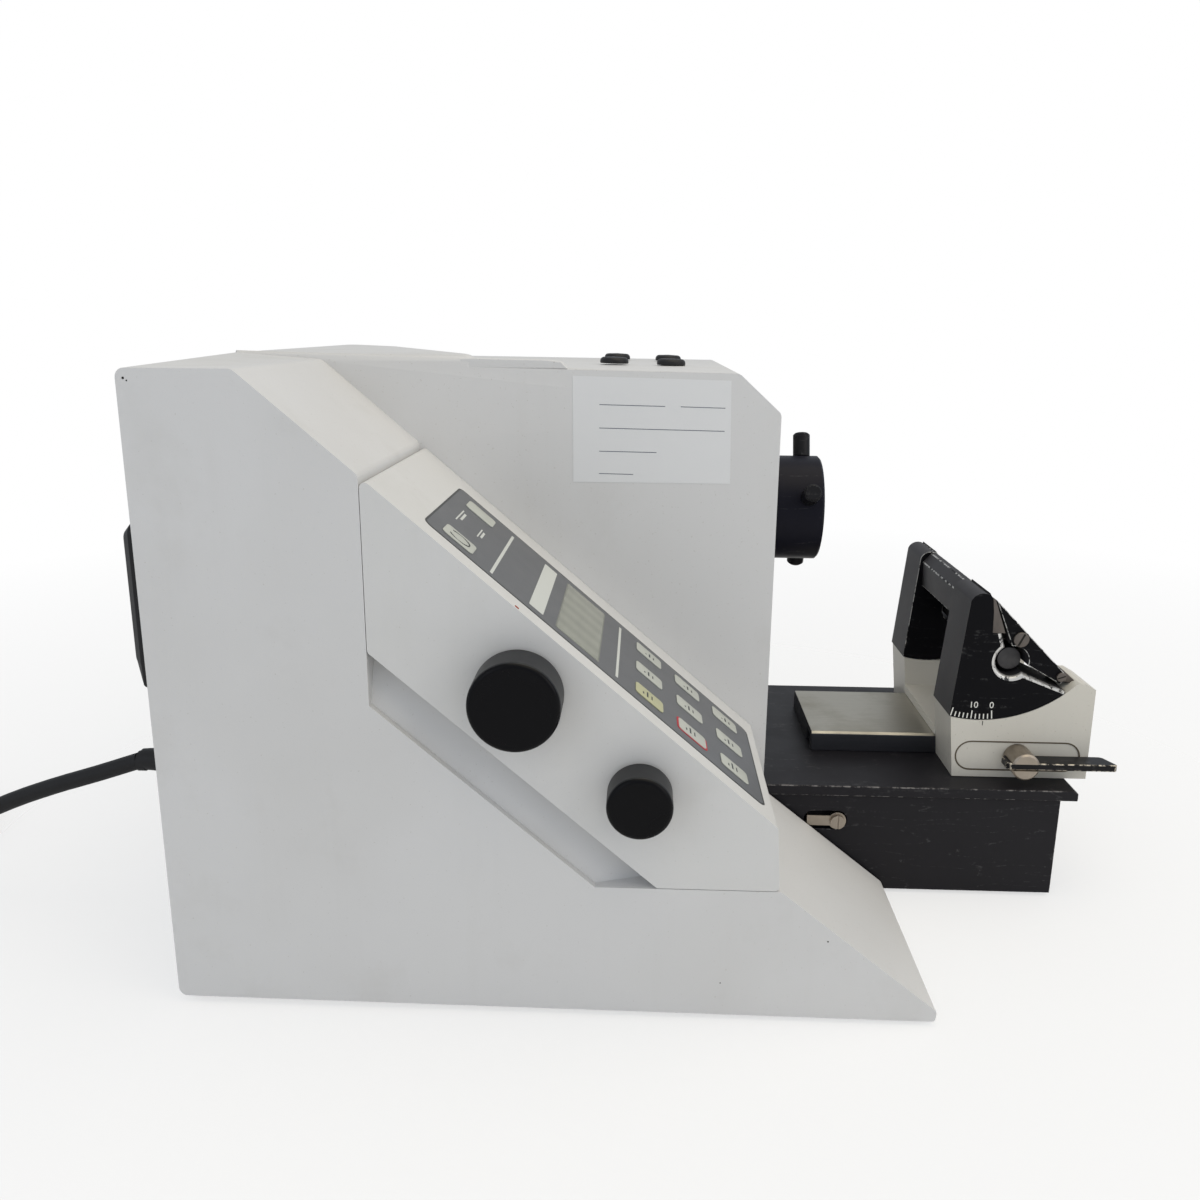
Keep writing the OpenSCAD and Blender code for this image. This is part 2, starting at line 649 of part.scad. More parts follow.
module crank_disc() {
    color([0.50, 0.52, 0.54]) {
        difference() {
            bar_y(0, shaft_z, crank_y0, crank_y0 + crank_t, crank_disc_r);
            // lightening holes beside the counterweight side
            for (a = [30, 150]) bar_y(22 * cos(a), shaft_z + 22 * sin(a), crank_y0 - 1, crank_y0 + crank_t + 1, 7);
        }
        bar_y(0, shaft_z + crank_r, crank_y0 - 3.5, crank_y0 + 0.01, crank_pin_r);
    }
}
module shaft_pulley() {
    color([0.60, 0.61, 0.63]) difference() {
        union() {
            bar_y(0, shaft_z, pulley_y0, pulley_y0 + pulley_w, big_pulley_r);
            for (y = [pulley_y0 - flange_t, pulley_y0 + pulley_w])
                bar_y(0, shaft_z, y, y + flange_t, big_pulley_r + 4);
        }
        bar_y(0, shaft_z, pulley_y0 - 3, pulley_y0 + pulley_w + 3, shaft_r);
    }
}
module motor_pulley() {
    color([0.60, 0.61, 0.63]) {
        bar_y(motor_x, motor_z, pulley_y0, pulley_y0 + pulley_w, small_pulley_r);
        for (y = [pulley_y0 - flange_t, pulley_y0 + pulley_w])
            bar_y(motor_x, motor_z, y, y + flange_t, small_pulley_r + 4);
        bar_y(motor_x, motor_z, pulley_y0 - 14, pulley_y0, 4);
    }
}
module belt_loop(grow) {
    hull() {
        translate([0, shaft_z]) circle(r = big_pulley_r + gap + grow, $fn = 64);
        translate([motor_x, motor_z]) circle(r = small_pulley_r + gap + grow, $fn = 64);
    }
}
module drive_belt() {
    color([0.06, 0.06, 0.06]) profile(pulley_y0 + flange_t, pulley_y0 + flange_t + belt_w * drive_k) difference() {
        belt_loop(belt_t);
        belt_loop(0);
    }
}
motor_y0 = pulley_y0 - 94;
module drive_motor() {
    color([0.22, 0.23, 0.24]) difference() {
        union() {
            bar_y(motor_x, motor_z, motor_y0, pulley_y0 - 14, motor_r);
            bar_y(motor_x, motor_z, motor_y0 - 6, motor_y0, motor_r - 8);
            bar_y(motor_x, motor_z, pulley_y0 - 14, pulley_y0 - 10, 12);
            block(motor_x - 20, motor_x + 20, motor_y0 + 12, pulley_y0 - 24, floor_top, motor_z - motor_r + 8);
        }
        bar_y(motor_x, motor_z, pulley_y0 - 30, pulley_y0 - 9, 4 + run_fit);
    }
}

// Handwheel: dished web between a thick rim and the hub, with a hole for the grip's spindle
module handwheel() {
    h = rim_w;
    color([0.78, 0.78, 0.75]) translate([0, wheel_y0, shaft_z]) rotate([-90, 0, 0]) difference() {
        union() {
            rotate_extrude($fn = 96) polygon([[shaft_r, 0], [24, 0], [26, 3], [wheel_r - 16, 5],
                [wheel_r - 13, 0],
                each [for (a = [-90 : 30 : 90]) [wheel_r - h / 2 + h / 2 * cos(a), h / 2 + h / 2 * sin(a)]],
                [wheel_r - 13, h], [wheel_r - 17, 10], [26, 9], [23, h + 8], [shaft_r, h + 8]]);
            // boss that carries the grip's spindle
            translate([grip_x, 0, 6]) cylinder(r = 9, h = h - 4 - gap);
        }
        translate([grip_x, 0, -1]) cylinder(r = 5, h = h + 4);
    }
}
module grip_spindle() {
    color([0.75, 0.76, 0.78]) {
        bar_y(grip_x, shaft_z, wheel_y0 + 0.5, grip_end_y - 4, 5);
        bar_y(grip_x, shaft_z, grip_end_y - 4, grip_end_y - 1.5, 8);
    }
}
module handwheel_grip() {
    color([0.05, 0.05, 0.06]) translate([grip_x, grip_y0, shaft_z]) rotate([-90, 0, 0]) rotate_extrude()
        polygon([[5 + run_fit, 0], [grip_r - 2.5, 0],
            each [for (t = [0 : 0.125 : 1]) [grip_r - 2 + 2 * sin(150 * t + 10), 1 + (grip_len - 3) * t]],
            [grip_r - 3, grip_len], [8.5, grip_len], [8.5, grip_len - 4 - gap], [5 + run_fit, grip_len - 4 - gap]]);
}

// Lever that locks the handwheel, on the right cover
module lock_lever() {
    color([0.05, 0.05, 0.06]) {
        bar_y(lock_x, lock_z, body_w - wall - 4, body_w + 2, lock_r);
        profile(body_w + 0.5, body_w + 5.5) hull() {
            translate([lock_x, lock_z]) circle(r = 9);
            translate([lock_x + 14, lock_z - 34]) circle(r = 6);
        }
        bar_y(lock_x + 14, lock_z - 34, body_w + 5, body_w + 16, 5);
    }
}

// Specimen carriage, which rides on the rails
carriage_z0 = head_z - 46;
carriage_z1 = head_z + 44;
sleeve_x0 = -74;
module carriage() {
    color([0.55, 0.57, 0.59]) difference() {
        union() {
            block(carriage_x0, carriage_x1 - 2, center_y - carriage_w / 2 - 4, center_y + carriage_w / 2,
                carriage_z0, carriage_z1);
            bar_x(center_y, head_z, carriage_x1 - 2.1, carriage_x1, ram_r + 6);
            // shoes that reach round the rails
            for (y = [rail_y[0] - 7 - gap, rail_y[1] + rail_w + gap])
                block(frame_front_x + 1, carriage_x0 + 0.1, y, y + 7, carriage_z0, carriage_z1);
            // sleeve of the feed, between the columns
            block(sleeve_x0, carriage_x0 + 0.1, center_y - 15, center_y + 15, head_z - 15, head_z + 15);
            // slotted arm for the crank pin
            block(-crank_r - 12, carriage_x1 - 6, center_y + 31.9, center_y + 40, head_z - 13, head_z + 13);
        }
        bar_x(center_y, head_z, -26, carriage_x1 + 1, ram_r + run_fit);
        bar_x(center_y, head_z, sleeve_x0 - 1, -25, 9);
        block(-crank_r - crank_pin_r, crank_r + crank_pin_r, center_y + 35, center_y + 41,
            head_z - crank_pin_r - 0.5, head_z + crank_pin_r + 0.5);
    }
}
module slot_shutter() {
    color([0.10, 0.10, 0.11]) difference() {
        block(carriage_x1, carriage_x1 + 1.5, center_y - 22, center_y + 22, head_z - 84, head_z + 58);
        bar_x(center_y, head_z, carriage_x1 - 1, carriage_x1 + 3, ram_r + 0.5);
    }
}
module feed_motor() {
    color([0.15, 0.15, 0.16]) difference() {
        union() {
            block(sleeve_x0 - 34, sleeve_x0, center_y - 15, center_y + 15, head_z - 15, head_z + 15);
            bar_x(center_y, head_z, sleeve_x0 - 40, sleeve_x0 - 33.9, 7);
        }
        bar_x(center_y, head_z, sleeve_x0 - 20, sleeve_x0 + 1, 4 + run_fit);
    }
}
module feed_screw() {
    color([0.72, 0.73, 0.74]) {
        bar_x(center_y, head_z, sleeve_x0 - 19, 34, 4);
        bar_x(center_y, head_z, sleeve_x0 + 1, sleeve_x0 + 4, 8.5);
    }
}
module specimen_cylinder() {
    color([0.70, 0.71, 0.72]) difference() {
        bar_x(center_y, head_z, -25 + gap, head_rear_x, ram_r);
        bar_x(center_y, head_z, -26, 66, 4 + run_fit);
    }
}
module specimen_head() {
    color([0.08, 0.08, 0.10]) difference() {
        translate([head_rear_x, center_y, head_z]) rotate([0, 90, 0]) rotate_extrude($fn = 96)
            polygon([[0, 0], [head_r - 1, 0], [head_r, 1], [head_r, head_t - 1.2], [head_r - 1.2, head_t],
                [0, head_t]]);
        bar_x(center_y, head_z, head_front_x - socket_depth, head_front_x + 1, socket_r);
        for (a = screw_angles) translate([screw_x, center_y, head_z]) rotate([a, 0, 0])
            translate([0, 0, socket_r + 2]) cylinder(r = 3 + run_fit, h = head_r);
    }
}
// Angles of the clamp screws about the head's axis, from straight up towards the pod side
screw_angles = [-head_turn, 90 - head_turn, 180 + head_turn];
module head_screw(a, reach) {
    translate([screw_x, center_y, head_z]) rotate([a, 0, 0]) {
        translate([0, 0, socket_r + 2 + gap]) cylinder(r = 3, h = head_r - socket_r);
        translate([0, 0, head_r + gap]) cylinder(r = head_screw_r, h = reach - head_r - gap - 1);
        translate([0, 0, reach - 1.01]) cylinder(r1 = head_screw_r, r2 = head_screw_r - 1, h = 1);
    }
}
module head_screw_top() color([0.06, 0.06, 0.07]) head_screw(screw_angles[0], head_screw_reach);
module head_screw_side() color([0.06, 0.06, 0.07]) head_screw(screw_angles[1], head_screw_reach);
module head_screw_low() color([0.06, 0.06, 0.07]) head_screw(screw_angles[2], head_screw_reach - 6);

// Knife base
pocket_x = front_x + 35;
pocket_z = 40;
pocket_half = 6.5;
pocket_depth = 8;
clip_screw_x = pocket_x + pocket_half;
module knife_base() {
    color([0.08, 0.08, 0.09]) difference() {
        block(front_x + gap, block_front_x, block_y0, block_y0 + block_w, 1, block_h + 1);
        // cast hollow, open below
        block(front_x + 12, block_front_x - 12, block_y0 + 12, block_y0 + block_w - 12, 0, block_h - 9);
        // pocket with round ends
        block(pocket_x - pocket_half, pocket_x + pocket_half, block_y0 - 1, block_y0 + pocket_depth,
            pocket_z - 5.5, pocket_z + 5.5);
        for (x = [pocket_x - pocket_half, pocket_x + pocket_half])
            bar_y(x, pocket_z, block_y0 - 1, block_y0 + pocket_depth, 5.5);
    }
    // lands under the front for the feet
    color([0.08, 0.08, 0.09]) for (p = [feet[3], feet[4]])
        translate([p[0], p[1], 0.5]) cylinder(r = foot_r + 1, h = 9);
}
module base_top_plate() {
    color([0.07, 0.07, 0.08]) difference() {
        block(front_x + gap, block_front_x + plate_lip, block_y0 - plate_side, block_y0 + block_w + plate_side,
            block_h + 1, plate_top_z);
        // chamfer along the front edge
        translate([block_front_x + plate_lip, block_y0 - plate_side - 1, plate_top_z]) rotate([0, 45, 0])
            cube([2.4, 2 * (block_w + 2 * plate_side + 2), 2.4], center = true);
    }
}
guide_screw_x = [holder_x0 + 20, holder_x0 + 44];
module guide_plate() {
    bevel = 1.5;
    color([0.55, 0.56, 0.54]) difference() {
        translate([guide_x0, 0, 0]) rotate([90, 0, 90]) linear_extrude(guide_len) polygon([
            [center_y - guide_w / 2, plate_top_z], [center_y + guide_w / 2, plate_top_z],
            [center_y + guide_w / 2, guide_top_z - bevel], [center_y + guide_w / 2 - bevel, guide_top_z],
            [center_y - guide_w / 2 + bevel, guide_top_z], [center_y - guide_w / 2, guide_top_z - bevel]]);
        // notch at the rear end, near the near flank
        block(guide_x0 - 1, guide_x0 + 3, center_y - guide_w / 2 + 6, center_y - guide_w / 2 + 18,
            plate_top_z - 1, guide_top_z - 4);
        for (x = guide_screw_x) translate([x, center_y, plate_top_z]) {
            translate([0, 0, 4]) cylinder(r = 5.2, h = guide_t);
            translate([0, 0, -1]) cylinder(r = 3, h = guide_t);
        }
    }
}
module guide_screws() {
    color([0.3, 0.3, 0.32]) for (x = guide_screw_x) translate([x, center_y, plate_top_z]) difference() {
        union() {
            translate([0, 0, 4]) cylinder(r = 5, h = 6);
            cylinder(r = 3, h = 4.1);
        }
        translate([0, 0, 7]) cylinder(r = 2.9, h = 4, $fn = 6);
    }
}
module base_clip() {
    color([0.72, 0.71, 0.68]) difference() {
        profile(block_y0 - 1.2, block_y0) union() {
            translate([clip_screw_x, pocket_z]) circle(r = 5);
            translate([pocket_x - pocket_half - 4, pocket_z - 3]) square([2 * pocket_half + 2, 6]);
        }
        bar_y(clip_screw_x, pocket_z, block_y0 - 3, block_y0 + 1, 2.2);
    }
    // turned-in end that reaches the pocket's floor
    color([0.72, 0.71, 0.68]) block(pocket_x - pocket_half - 4, pocket_x - pocket_half - 2.8,
        block_y0 - 0.1, block_y0 + pocket_depth, pocket_z - 3, pocket_z + 3);
}
module base_clip_screw() {
    color([0.75, 0.74, 0.72]) difference() {
        union() {
            bar_y(clip_screw_x, pocket_z, block_y0 - 3.4, block_y0 - 1.2, 4);
            bar_y(clip_screw_x, pocket_z, block_y0 - 1.3, block_y0 + pocket_depth, 2);
        }
        block(clip_screw_x - 0.5, clip_screw_x + 0.5, block_y0 - 4, block_y0 - 2.6, pocket_z - 5, pocket_z + 5);
    }
}

// Knife holder: cheeks joined by a bridge over the guide, with a round seat for the segment
cheek_top_z = holder_z0 + cheek_h;
cheek_front_x = holder_x0 + holder_len;
seat_r = segment_r + gap;
plate_half = 26;
module cheek_profile() {
    difference() {
        polygon([[holder_x0 + 3.5, holder_z0], [cheek_front_x + 0.5, holder_z0], [cheek_front_x, cheek_top_z - 5],
            [cheek_front_x - 6, cheek_top_z], [holder_x0 + 40, cheek_top_z], [holder_x0 + 0.2, cheek_top_z - 20],
            [holder_x0, holder_z0 + 35]]);
        translate([pivot_x, pivot_z]) circle(r = seat_r, $fn = 180);
    }
}
module holder_base() {
    color([0.80, 0.80, 0.76]) difference() {
        union() {
            profile(holder_y0, holder_y0 + cheek_w) cheek_profile();
            profile(holder_y0 + holder_w - cheek_w, holder_y0 + holder_w) cheek_profile();
            block(holder_x0 + 1.5, cheek_front_x - 6, holder_y0 + cheek_w - 0.1,
                holder_y0 + holder_w - cheek_w + 0.1, guide_top_z + gap, guide_top_z + gap + 5);
        }
        // recess of the side plate, with round ends
        side_plate_shape(holder_y0 - 1, holder_y0 + 3, 0);
        bar_y(boss_x, boss_z, holder_y0 - 1, holder_y0 + cheek_w - 4, boss_r - 1.6 + run_fit);
    }
}
side_plate_x = holder_x0 + 39;
side_plate_r = 8.4;
module side_plate_shape(y0, y1, inset) {
    block(side_plate_x - plate_half, side_plate_x + plate_half, y0, y1,
        boss_z - side_plate_r + inset, boss_z + side_plate_r - inset);
    for (s = [-1, 1]) bar_y(side_plate_x + s * plate_half, boss_z, y0, y1, side_plate_r - inset);
}
module holder_side_plate() {
    color([0.81, 0.81, 0.77]) difference() {
        side_plate_shape(holder_y0 + 0.2, holder_y0 + 3, 0.3);
        bar_y(boss_x, boss_z, holder_y0 - 1, holder_y0 + 4, boss_r - 1.6 + run_fit);
    }
}
module clamp_shaft() {
    color([0.66, 0.64, 0.60]) difference() {
        union() {
            bar_y(boss_x, boss_z, holder_y0 - boss_len + 1, holder_y0 - gap, boss_r);
            translate([boss_x, holder_y0 - boss_len + 1.01, boss_z]) rotate([90, 0, 0])
                cylinder(r1 = boss_r, r2 = boss_r - 1, h = 1);
            bar_y(boss_x, boss_z, holder_y0 - gap - 0.1, holder_y0 + cheek_w - 5, boss_r - 1.6);
        }
        block(boss_x - boss_r - 1, boss_x + boss_r + 1, holder_y0 - boss_len - 1, lever_y1,
            boss_z - lever_t / 2, boss_z + lever_t / 2);
    }
}
module clamp_lever() {
    color([0.06, 0.06, 0.07]) translate([0, 0, boss_z - lever_t / 2]) linear_extrude(lever_t) polygon([
        [boss_x - 10, lever_y1 - 2], [boss_x - 10, lever_y1 - lever_w + 2], [boss_x - 8, lever_y1 - lever_w],
        [lever_tip_x - 1, lever_y1 - lever_w], [lever_tip_x, lever_y1 - lever_w + 1],
        [lever_tip_x - 4, lever_y1 - 1], [lever_tip_x - 6, lever_y1], [boss_x - 8, lever_y1]]);
}

// Tilting segment. Its round foot is centred on the knife edge.
function polar(r, a) = [pivot_x + r * sin(a), pivot_z - r * cos(a)];
foot_a0 = -12.5;
foot_a1 = 41;
arm_w = cheek_w;
face_top = [pivot_x - 1, pivot_z + 0.6];
face_low = [pivot_x + 44.5, pivot_z - 42.2];
module segment_outline() {
    polygon([each [for (i = [0 : 14]) polar(segment_r, foot_a0 + (foot_a1 - foot_a0) * i / 14)],
        face_low, face_top,
        each [for (a = [60 : 20 : 160]) [pivot_x - 2.6 + 6.6 * cos(a), pivot_z - 6.4 + 6.6 * sin(a)]]]);
}
face_fall = (face_top[1] - face_low[1]) / (face_low[0] - face_top[0]);
function face_z(x) = face_top[1] - (x - face_top[0]) * face_fall;
// Blade slit, wider near the hole
slit = [[pivot_x + 0.6, pivot_z + 2.8], [pivot_x + slit_w + 2.6, pivot_z + 0.8],
    [bar_x + 4, bar_z + 9], [bar_x - 3.4, bar_z + 9.6]];
module keyhole_void() {
    translate([bar_x, bar_z]) circle(r = keyhole_r);
    polygon(slit);
    // lower slot that lets the plate's tail move
    polygon([[bar_x + 5, bar_z - 8.6], [bar_x + 9.5, bar_z + 3], [face_low[0] + 6, face_low[1] - 5.5],
        [face_low[0] + 6, face_low[1] - 15.5]]);
}
module plate_outline(grow) {
    lip_x = pivot_x + slit_w + 0.8;
    offset(delta = grow) polygon([[lip_x, face_z(lip_x)], face_low,
        [face_low[0] + 1.4, face_low[1] - 6], [bar_x + 7, bar_z + 2.5], [bar_x + 1, bar_z + 5]]);
}
module segment() {
    arms = [[holder_y0, holder_y0 + arm_w], [holder_y0 + holder_w - arm_w, holder_y0 + holder_w]];
    color([0.06, 0.06, 0.07]) {
        for (a = arms) profile(a[0], a[1]) difference() {
            segment_outline();
            keyhole_void();
            plate_outline(gap);
            strip_outline();
        }
        // crosspiece behind the blade slit
        profile(holder_y0 + arm_w - 0.1, holder_y0 + holder_w - arm_w + 0.1) difference() {
            polygon([[pivot_x - 7.6, pivot_z - 6], [pivot_x - 3, pivot_z - 0.6], [pivot_x - 0.6, pivot_z - 0.2],
                [bar_x - 3.4, bar_z + 9.6], [bar_x - 9, bar_z + 2], [pivot_x - 8, bar_z + 6]]);
            translate([bar_x, bar_z]) circle(r = keyhole_r);
            keyhole_void();
            strip_outline();
        }
    }
}
// Hardened strip let into the segment beside the slit
module strip_outline() {
    polygon([[pivot_x - 0.6, pivot_z - 11], [pivot_x + 2.4, pivot_z - 11],
        [pivot_x + 6.4, pivot_z - 21], [pivot_x + 0.4, pivot_z - 21]]);
}
module back_strip() {
    color([0.50, 0.50, 0.49]) profile(holder_y0 + 0.2, holder_y0 + holder_w - 0.2) difference() {
        strip_outline();
        polygon(slit);
    }
}
module pressure_plate() {
    color([0.07, 0.07, 0.08]) difference() {
        profile(holder_y0, holder_y0 + holder_w) difference() {
            plate_outline(0);
            translate([bar_x, bar_z]) circle(r = bar_r + run_fit);
        }
        for (p = plate_screw_at) bar_y(p[0], p[1], holder_y0 - 1, holder_y0 + 10, p[2] - 1.2);
    }
}
module clamp_bar() {
    color([0.30, 0.30, 0.31]) bar_y(bar_x, bar_z, holder_y0 + 2, holder_y0 + holder_w - 2, bar_r);
}
plate_screw_at = [[pivot_x + 18, pivot_z - 24.4, 4.2], [pivot_x + 41.6, pivot_z - 44, 2.6]];
module plate_screws() {
    color([0.42, 0.40, 0.38]) for (p = plate_screw_at) difference() {
        union() {
            bar_y(p[0], p[1], holder_y0 - 1.6, holder_y0, p[2]);
            bar_y(p[0], p[1], holder_y0 - 0.1, holder_y0 + 9.9, p[2] - 1.2);
        }
        block(p[0] - 0.45, p[0] + 0.45, holder_y0 - 2, holder_y0 - 0.8, p[1] - 5, p[1] + 5);
    }
}

// Mains lead
function unit(v) = v / norm(v);
function spot(p, i) = p[max(0, min(len(p) - 1, i))];
function spline(p, i, t) =
    let (a = spot(p, i - 1), b = p[i], c = spot(p, i + 1), d = spot(p, i + 2))
    b + t * ((c - a) / 2 + t * ((a - 2.5 * b + 2 * c - 0.5 * d) + t * (-0.5 * a + 1.5 * b - 1.5 * c + 0.5 * d)));
function smooth(p, n) = [for (i = [0 : len(p) - 2], j = [0 : n - 1]) spline(p, i, j / n), p[len(p) - 1]];
module tube(path, r, sides = 10) {
    m = len(path);
    rings = [for (i = [0 : m - 1])
        let (d = unit(spot(path, i + 1) - spot(path, i - 1)), u = unit(cross(d, [0, 0, 1])), v = cross(u, d))
        for (k = [0 : sides - 1]) path[i] + r * cos(360 * k / sides) * u + r * sin(360 * k / sides) * v];
    polyhedron(points = rings, faces = [
        [for (k = [sides - 1 : -1 : 0]) k],
        for (i = [0 : m - 2], k = [0 : sides - 1])
            [i * sides + k, i * sides + (k + 1) % sides, (i + 1) * sides + (k + 1) % sides, (i + 1) * sides + k],
        [for (k = [0 : sides - 1]) (m - 1) * sides + k]]);
}
relief_x0 = cord_route[0][0];
module cord_connector() {
    color([0.05, 0.05, 0.05]) {
        block(rear_x - 17, rear_x + 14, inlet_y - 11.7, inlet_y + 11.7, inlet_z - 7.7, inlet_z + 7.7);
        hull() {
            block(rear_x - 18, rear_x - 16.9, inlet_y - 10, inlet_y + 10, inlet_z - 7, inlet_z + 7);
            bar_x(inlet_y, inlet_z - 1, rear_x - 25, rear_x - 22, 7.5, 24);
        }
        translate([rear_x - 24.9, inlet_y, inlet_z - 1]) rotate([0, -90, 0])
            cylinder(r1 = 7, r2 = cord_r + 1, h = rear_x - 24.9 - relief_x0 - 2, $fn = 24);
        bar_x(inlet_y, cord_route[0][2], relief_x0, relief_x0 + 4, cord_r + 0.8, 24);
    }
}
module cord_run() {
    color([0.06, 0.06, 0.07]) tube(smooth(cord_route, 4), cord_r);
}
coil_in = coil_mean_r - coil_rows * cord_r;
coil_out = coil_mean_r + coil_rows * cord_r;
coil_h = 2 * cord_r * coil_tiers;
module cord_coil() {
    color([0.06, 0.06, 0.07]) tube(smooth(tail_route, 4), cord_r);
    color([0.06, 0.06, 0.07]) translate([coil_center[0], coil_center[1], -foot_h]) rotate_extrude($fn = 48)
        polygon([[coil_in + 2, 0], [coil_out - 2, 0], [coil_out, 2], [coil_out, coil_h - 2],
            [coil_out - 2, coil_h], [coil_in + 2, coil_h], [coil_in, coil_h - 2], [coil_in, 2]]);
}
plug_at = [-447, 1];
module mains_plug() {
    color([0.05, 0.05, 0.05]) translate([plug_at[0], plug_at[1], 10 - foot_h]) {
        hull() {
            translate([-17, -10, -9]) cube([34, 22, 18]);
            translate([-12, 12, -7]) cube([24, 8, 14]);
        }
        translate([0, 19.9, 0]) rotate([-90, 0, 0]) cylinder(r1 = 7.5, r2 = cord_r + 1, h = 26, $fn = 24);
    }
    color([0.75, 0.70, 0.45]) translate([plug_at[0], plug_at[1], 10 - foot_h]) {
        for (x = [-6.4, 6.4]) translate([x - 0.8, -28, -0.5]) cube([1.6, 18.1, 6.3]);
        translate([0, -9.9, -4.5]) rotate([90, 0, 0]) cylinder(r = 2.4, h = 20, $fn = 24);
    }
}

place() floor_plate();
place() rubber_feet();
place() main_cover();
place() right_cover();
place() rear_panel();
place() control_pod();
place() keypad_foil();
place() display_window();
place() control_board();
place() knob_encoders();
place() coarse_feed_knob();
place() speed_knob();
place() top_studs();
place() fan_cover();
place() fan_frame();
place() fan_rotor();
place() power_inlet();
place() power_switch();
place() transformer();
place() main_frame();
place() guide_rails();
place() shaft_bearings();
place() main_shaft();
place() crank_disc();
place() shaft_pulley();
place() handwheel();
place() grip_spindle();
place() handwheel_grip();
place() lock_lever();
place() drive_motor();
place() motor_pulley();
place() drive_belt();
place() carriage();
place() slot_shutter();
place() feed_motor();
place() feed_screw();
place() specimen_cylinder();
place() specimen_head();
place() head_screw_top();
place() head_screw_side();
place() head_screw_low();
place() knife_base();
place() base_top_plate();
place() guide_plate();
place() guide_screws();
place() base_clip();
place() base_clip_screw();
place() holder_base();
place() holder_side_plate();
place() clamp_shaft();
place() clamp_lever();
place() segment();
place() back_strip();
place() pressure_plate();
place() clamp_bar();
place() plate_screws();
place() cord_connector();
place() cord_run();
place() cord_coil();
place() mains_plug();
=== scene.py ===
"""Finishes and fine pieces for a rotary microtome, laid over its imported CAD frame."""

import json
import math

import bpy
from mathutils import Matrix, Vector

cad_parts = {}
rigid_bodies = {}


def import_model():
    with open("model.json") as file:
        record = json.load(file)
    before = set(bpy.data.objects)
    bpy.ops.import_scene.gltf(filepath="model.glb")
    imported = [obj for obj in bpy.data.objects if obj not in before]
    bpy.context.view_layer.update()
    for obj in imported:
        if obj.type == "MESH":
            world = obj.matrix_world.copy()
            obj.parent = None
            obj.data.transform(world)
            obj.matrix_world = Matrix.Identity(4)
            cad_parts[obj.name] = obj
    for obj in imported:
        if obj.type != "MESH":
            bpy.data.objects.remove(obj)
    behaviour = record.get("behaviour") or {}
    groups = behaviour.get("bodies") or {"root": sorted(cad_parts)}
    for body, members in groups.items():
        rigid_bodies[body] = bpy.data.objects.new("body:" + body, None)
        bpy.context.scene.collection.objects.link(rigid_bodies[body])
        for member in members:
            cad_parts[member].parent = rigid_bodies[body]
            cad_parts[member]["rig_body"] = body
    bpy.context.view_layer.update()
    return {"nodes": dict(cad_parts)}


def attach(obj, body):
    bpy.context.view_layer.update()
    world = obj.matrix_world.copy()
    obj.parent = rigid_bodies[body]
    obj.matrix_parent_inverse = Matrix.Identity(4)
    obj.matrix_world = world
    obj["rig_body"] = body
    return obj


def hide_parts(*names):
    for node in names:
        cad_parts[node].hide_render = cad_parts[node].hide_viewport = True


bl_info = {
    "name": "Rotary microtome", "version": (1, 0, 0), "blender": (4, 5, 0),
    "location": "View3D > Sidebar > Microtome",
    "description": "Paints and details a packed rotary microtome", "category": "Object",
}

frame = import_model()

MM = 0.001
# The machine is measured from its main shaft, its control side and the lower edge of its cover.
DATUM = Vector((-18.0, -201.0, 4.0))
SLOPE = math.radians(40.6)
SLOPE_TOP = Vector((-116.5, 0.0, 290.5 - math.tan(SLOPE) * 49.5))
# Corners of the recess for the keypad and of its film, along the slope and across from the pod's near side
KEYPAD_BED = (32.0, 13.35), (229.6, 111.35)
KEYPAD_FILM = (32.2, 12.7), (230.6, 105.2)
# The knife edge, about which the segment tilts, and what is measured from it
KNIFE_EDGE = (191.5, 168.2)
NEAR_ARM, FAR_ARM = (135.0, 168.7), (244.3, 278.0)
NEAR, FAR = NEAR_ARM[0], FAR_ARM[1]
KEYHOLE, KEYHOLE_RADIUS = (15.2, -37.7), 8.8
FOOT_RADIUS = 72.0
# The wall behind the control side's wing, the height of the nose, and the cover's rear edge
WALL_Y, NOSE_TOP, REAR_X = 125.0, 62.5, -214.0
# How far a print stands off the face that carries it
PRINT = 0.06


# ---------------------------------------------------------------- places


def spot(x, y, z):
    """A point of the machine in millimetres, as a point of the scene in metres."""
    return (Vector((x, y, z)) + DATUM) * MM


def on_slope(along, y, lift=0.0):
    """A point on the sloped top of the control pod."""
    return spot(
        SLOPE_TOP.x + along * math.cos(SLOPE) + lift * math.sin(SLOPE),
        y,
        SLOPE_TOP.z - along * math.sin(SLOPE) + lift * math.cos(SLOPE),
    )


def from_edge(points):
    """Points in X and Z that are given from the knife edge, as points of the machine."""
    return [(KNIFE_EDGE[0] + a, KNIFE_EDGE[1] + b) for a, b in points]


def srgb(red, green, blue):
    """A colour as a screen shows it, made linear."""
    return tuple(
        (c / 12.92 if c <= 0.04045 else ((c + 0.055) / 1.055) ** 2.4)
        for c in (red / 255, green / 255, blue / 255)
    ) + (1.0,)


# ---------------------------------------------------------------- finishes


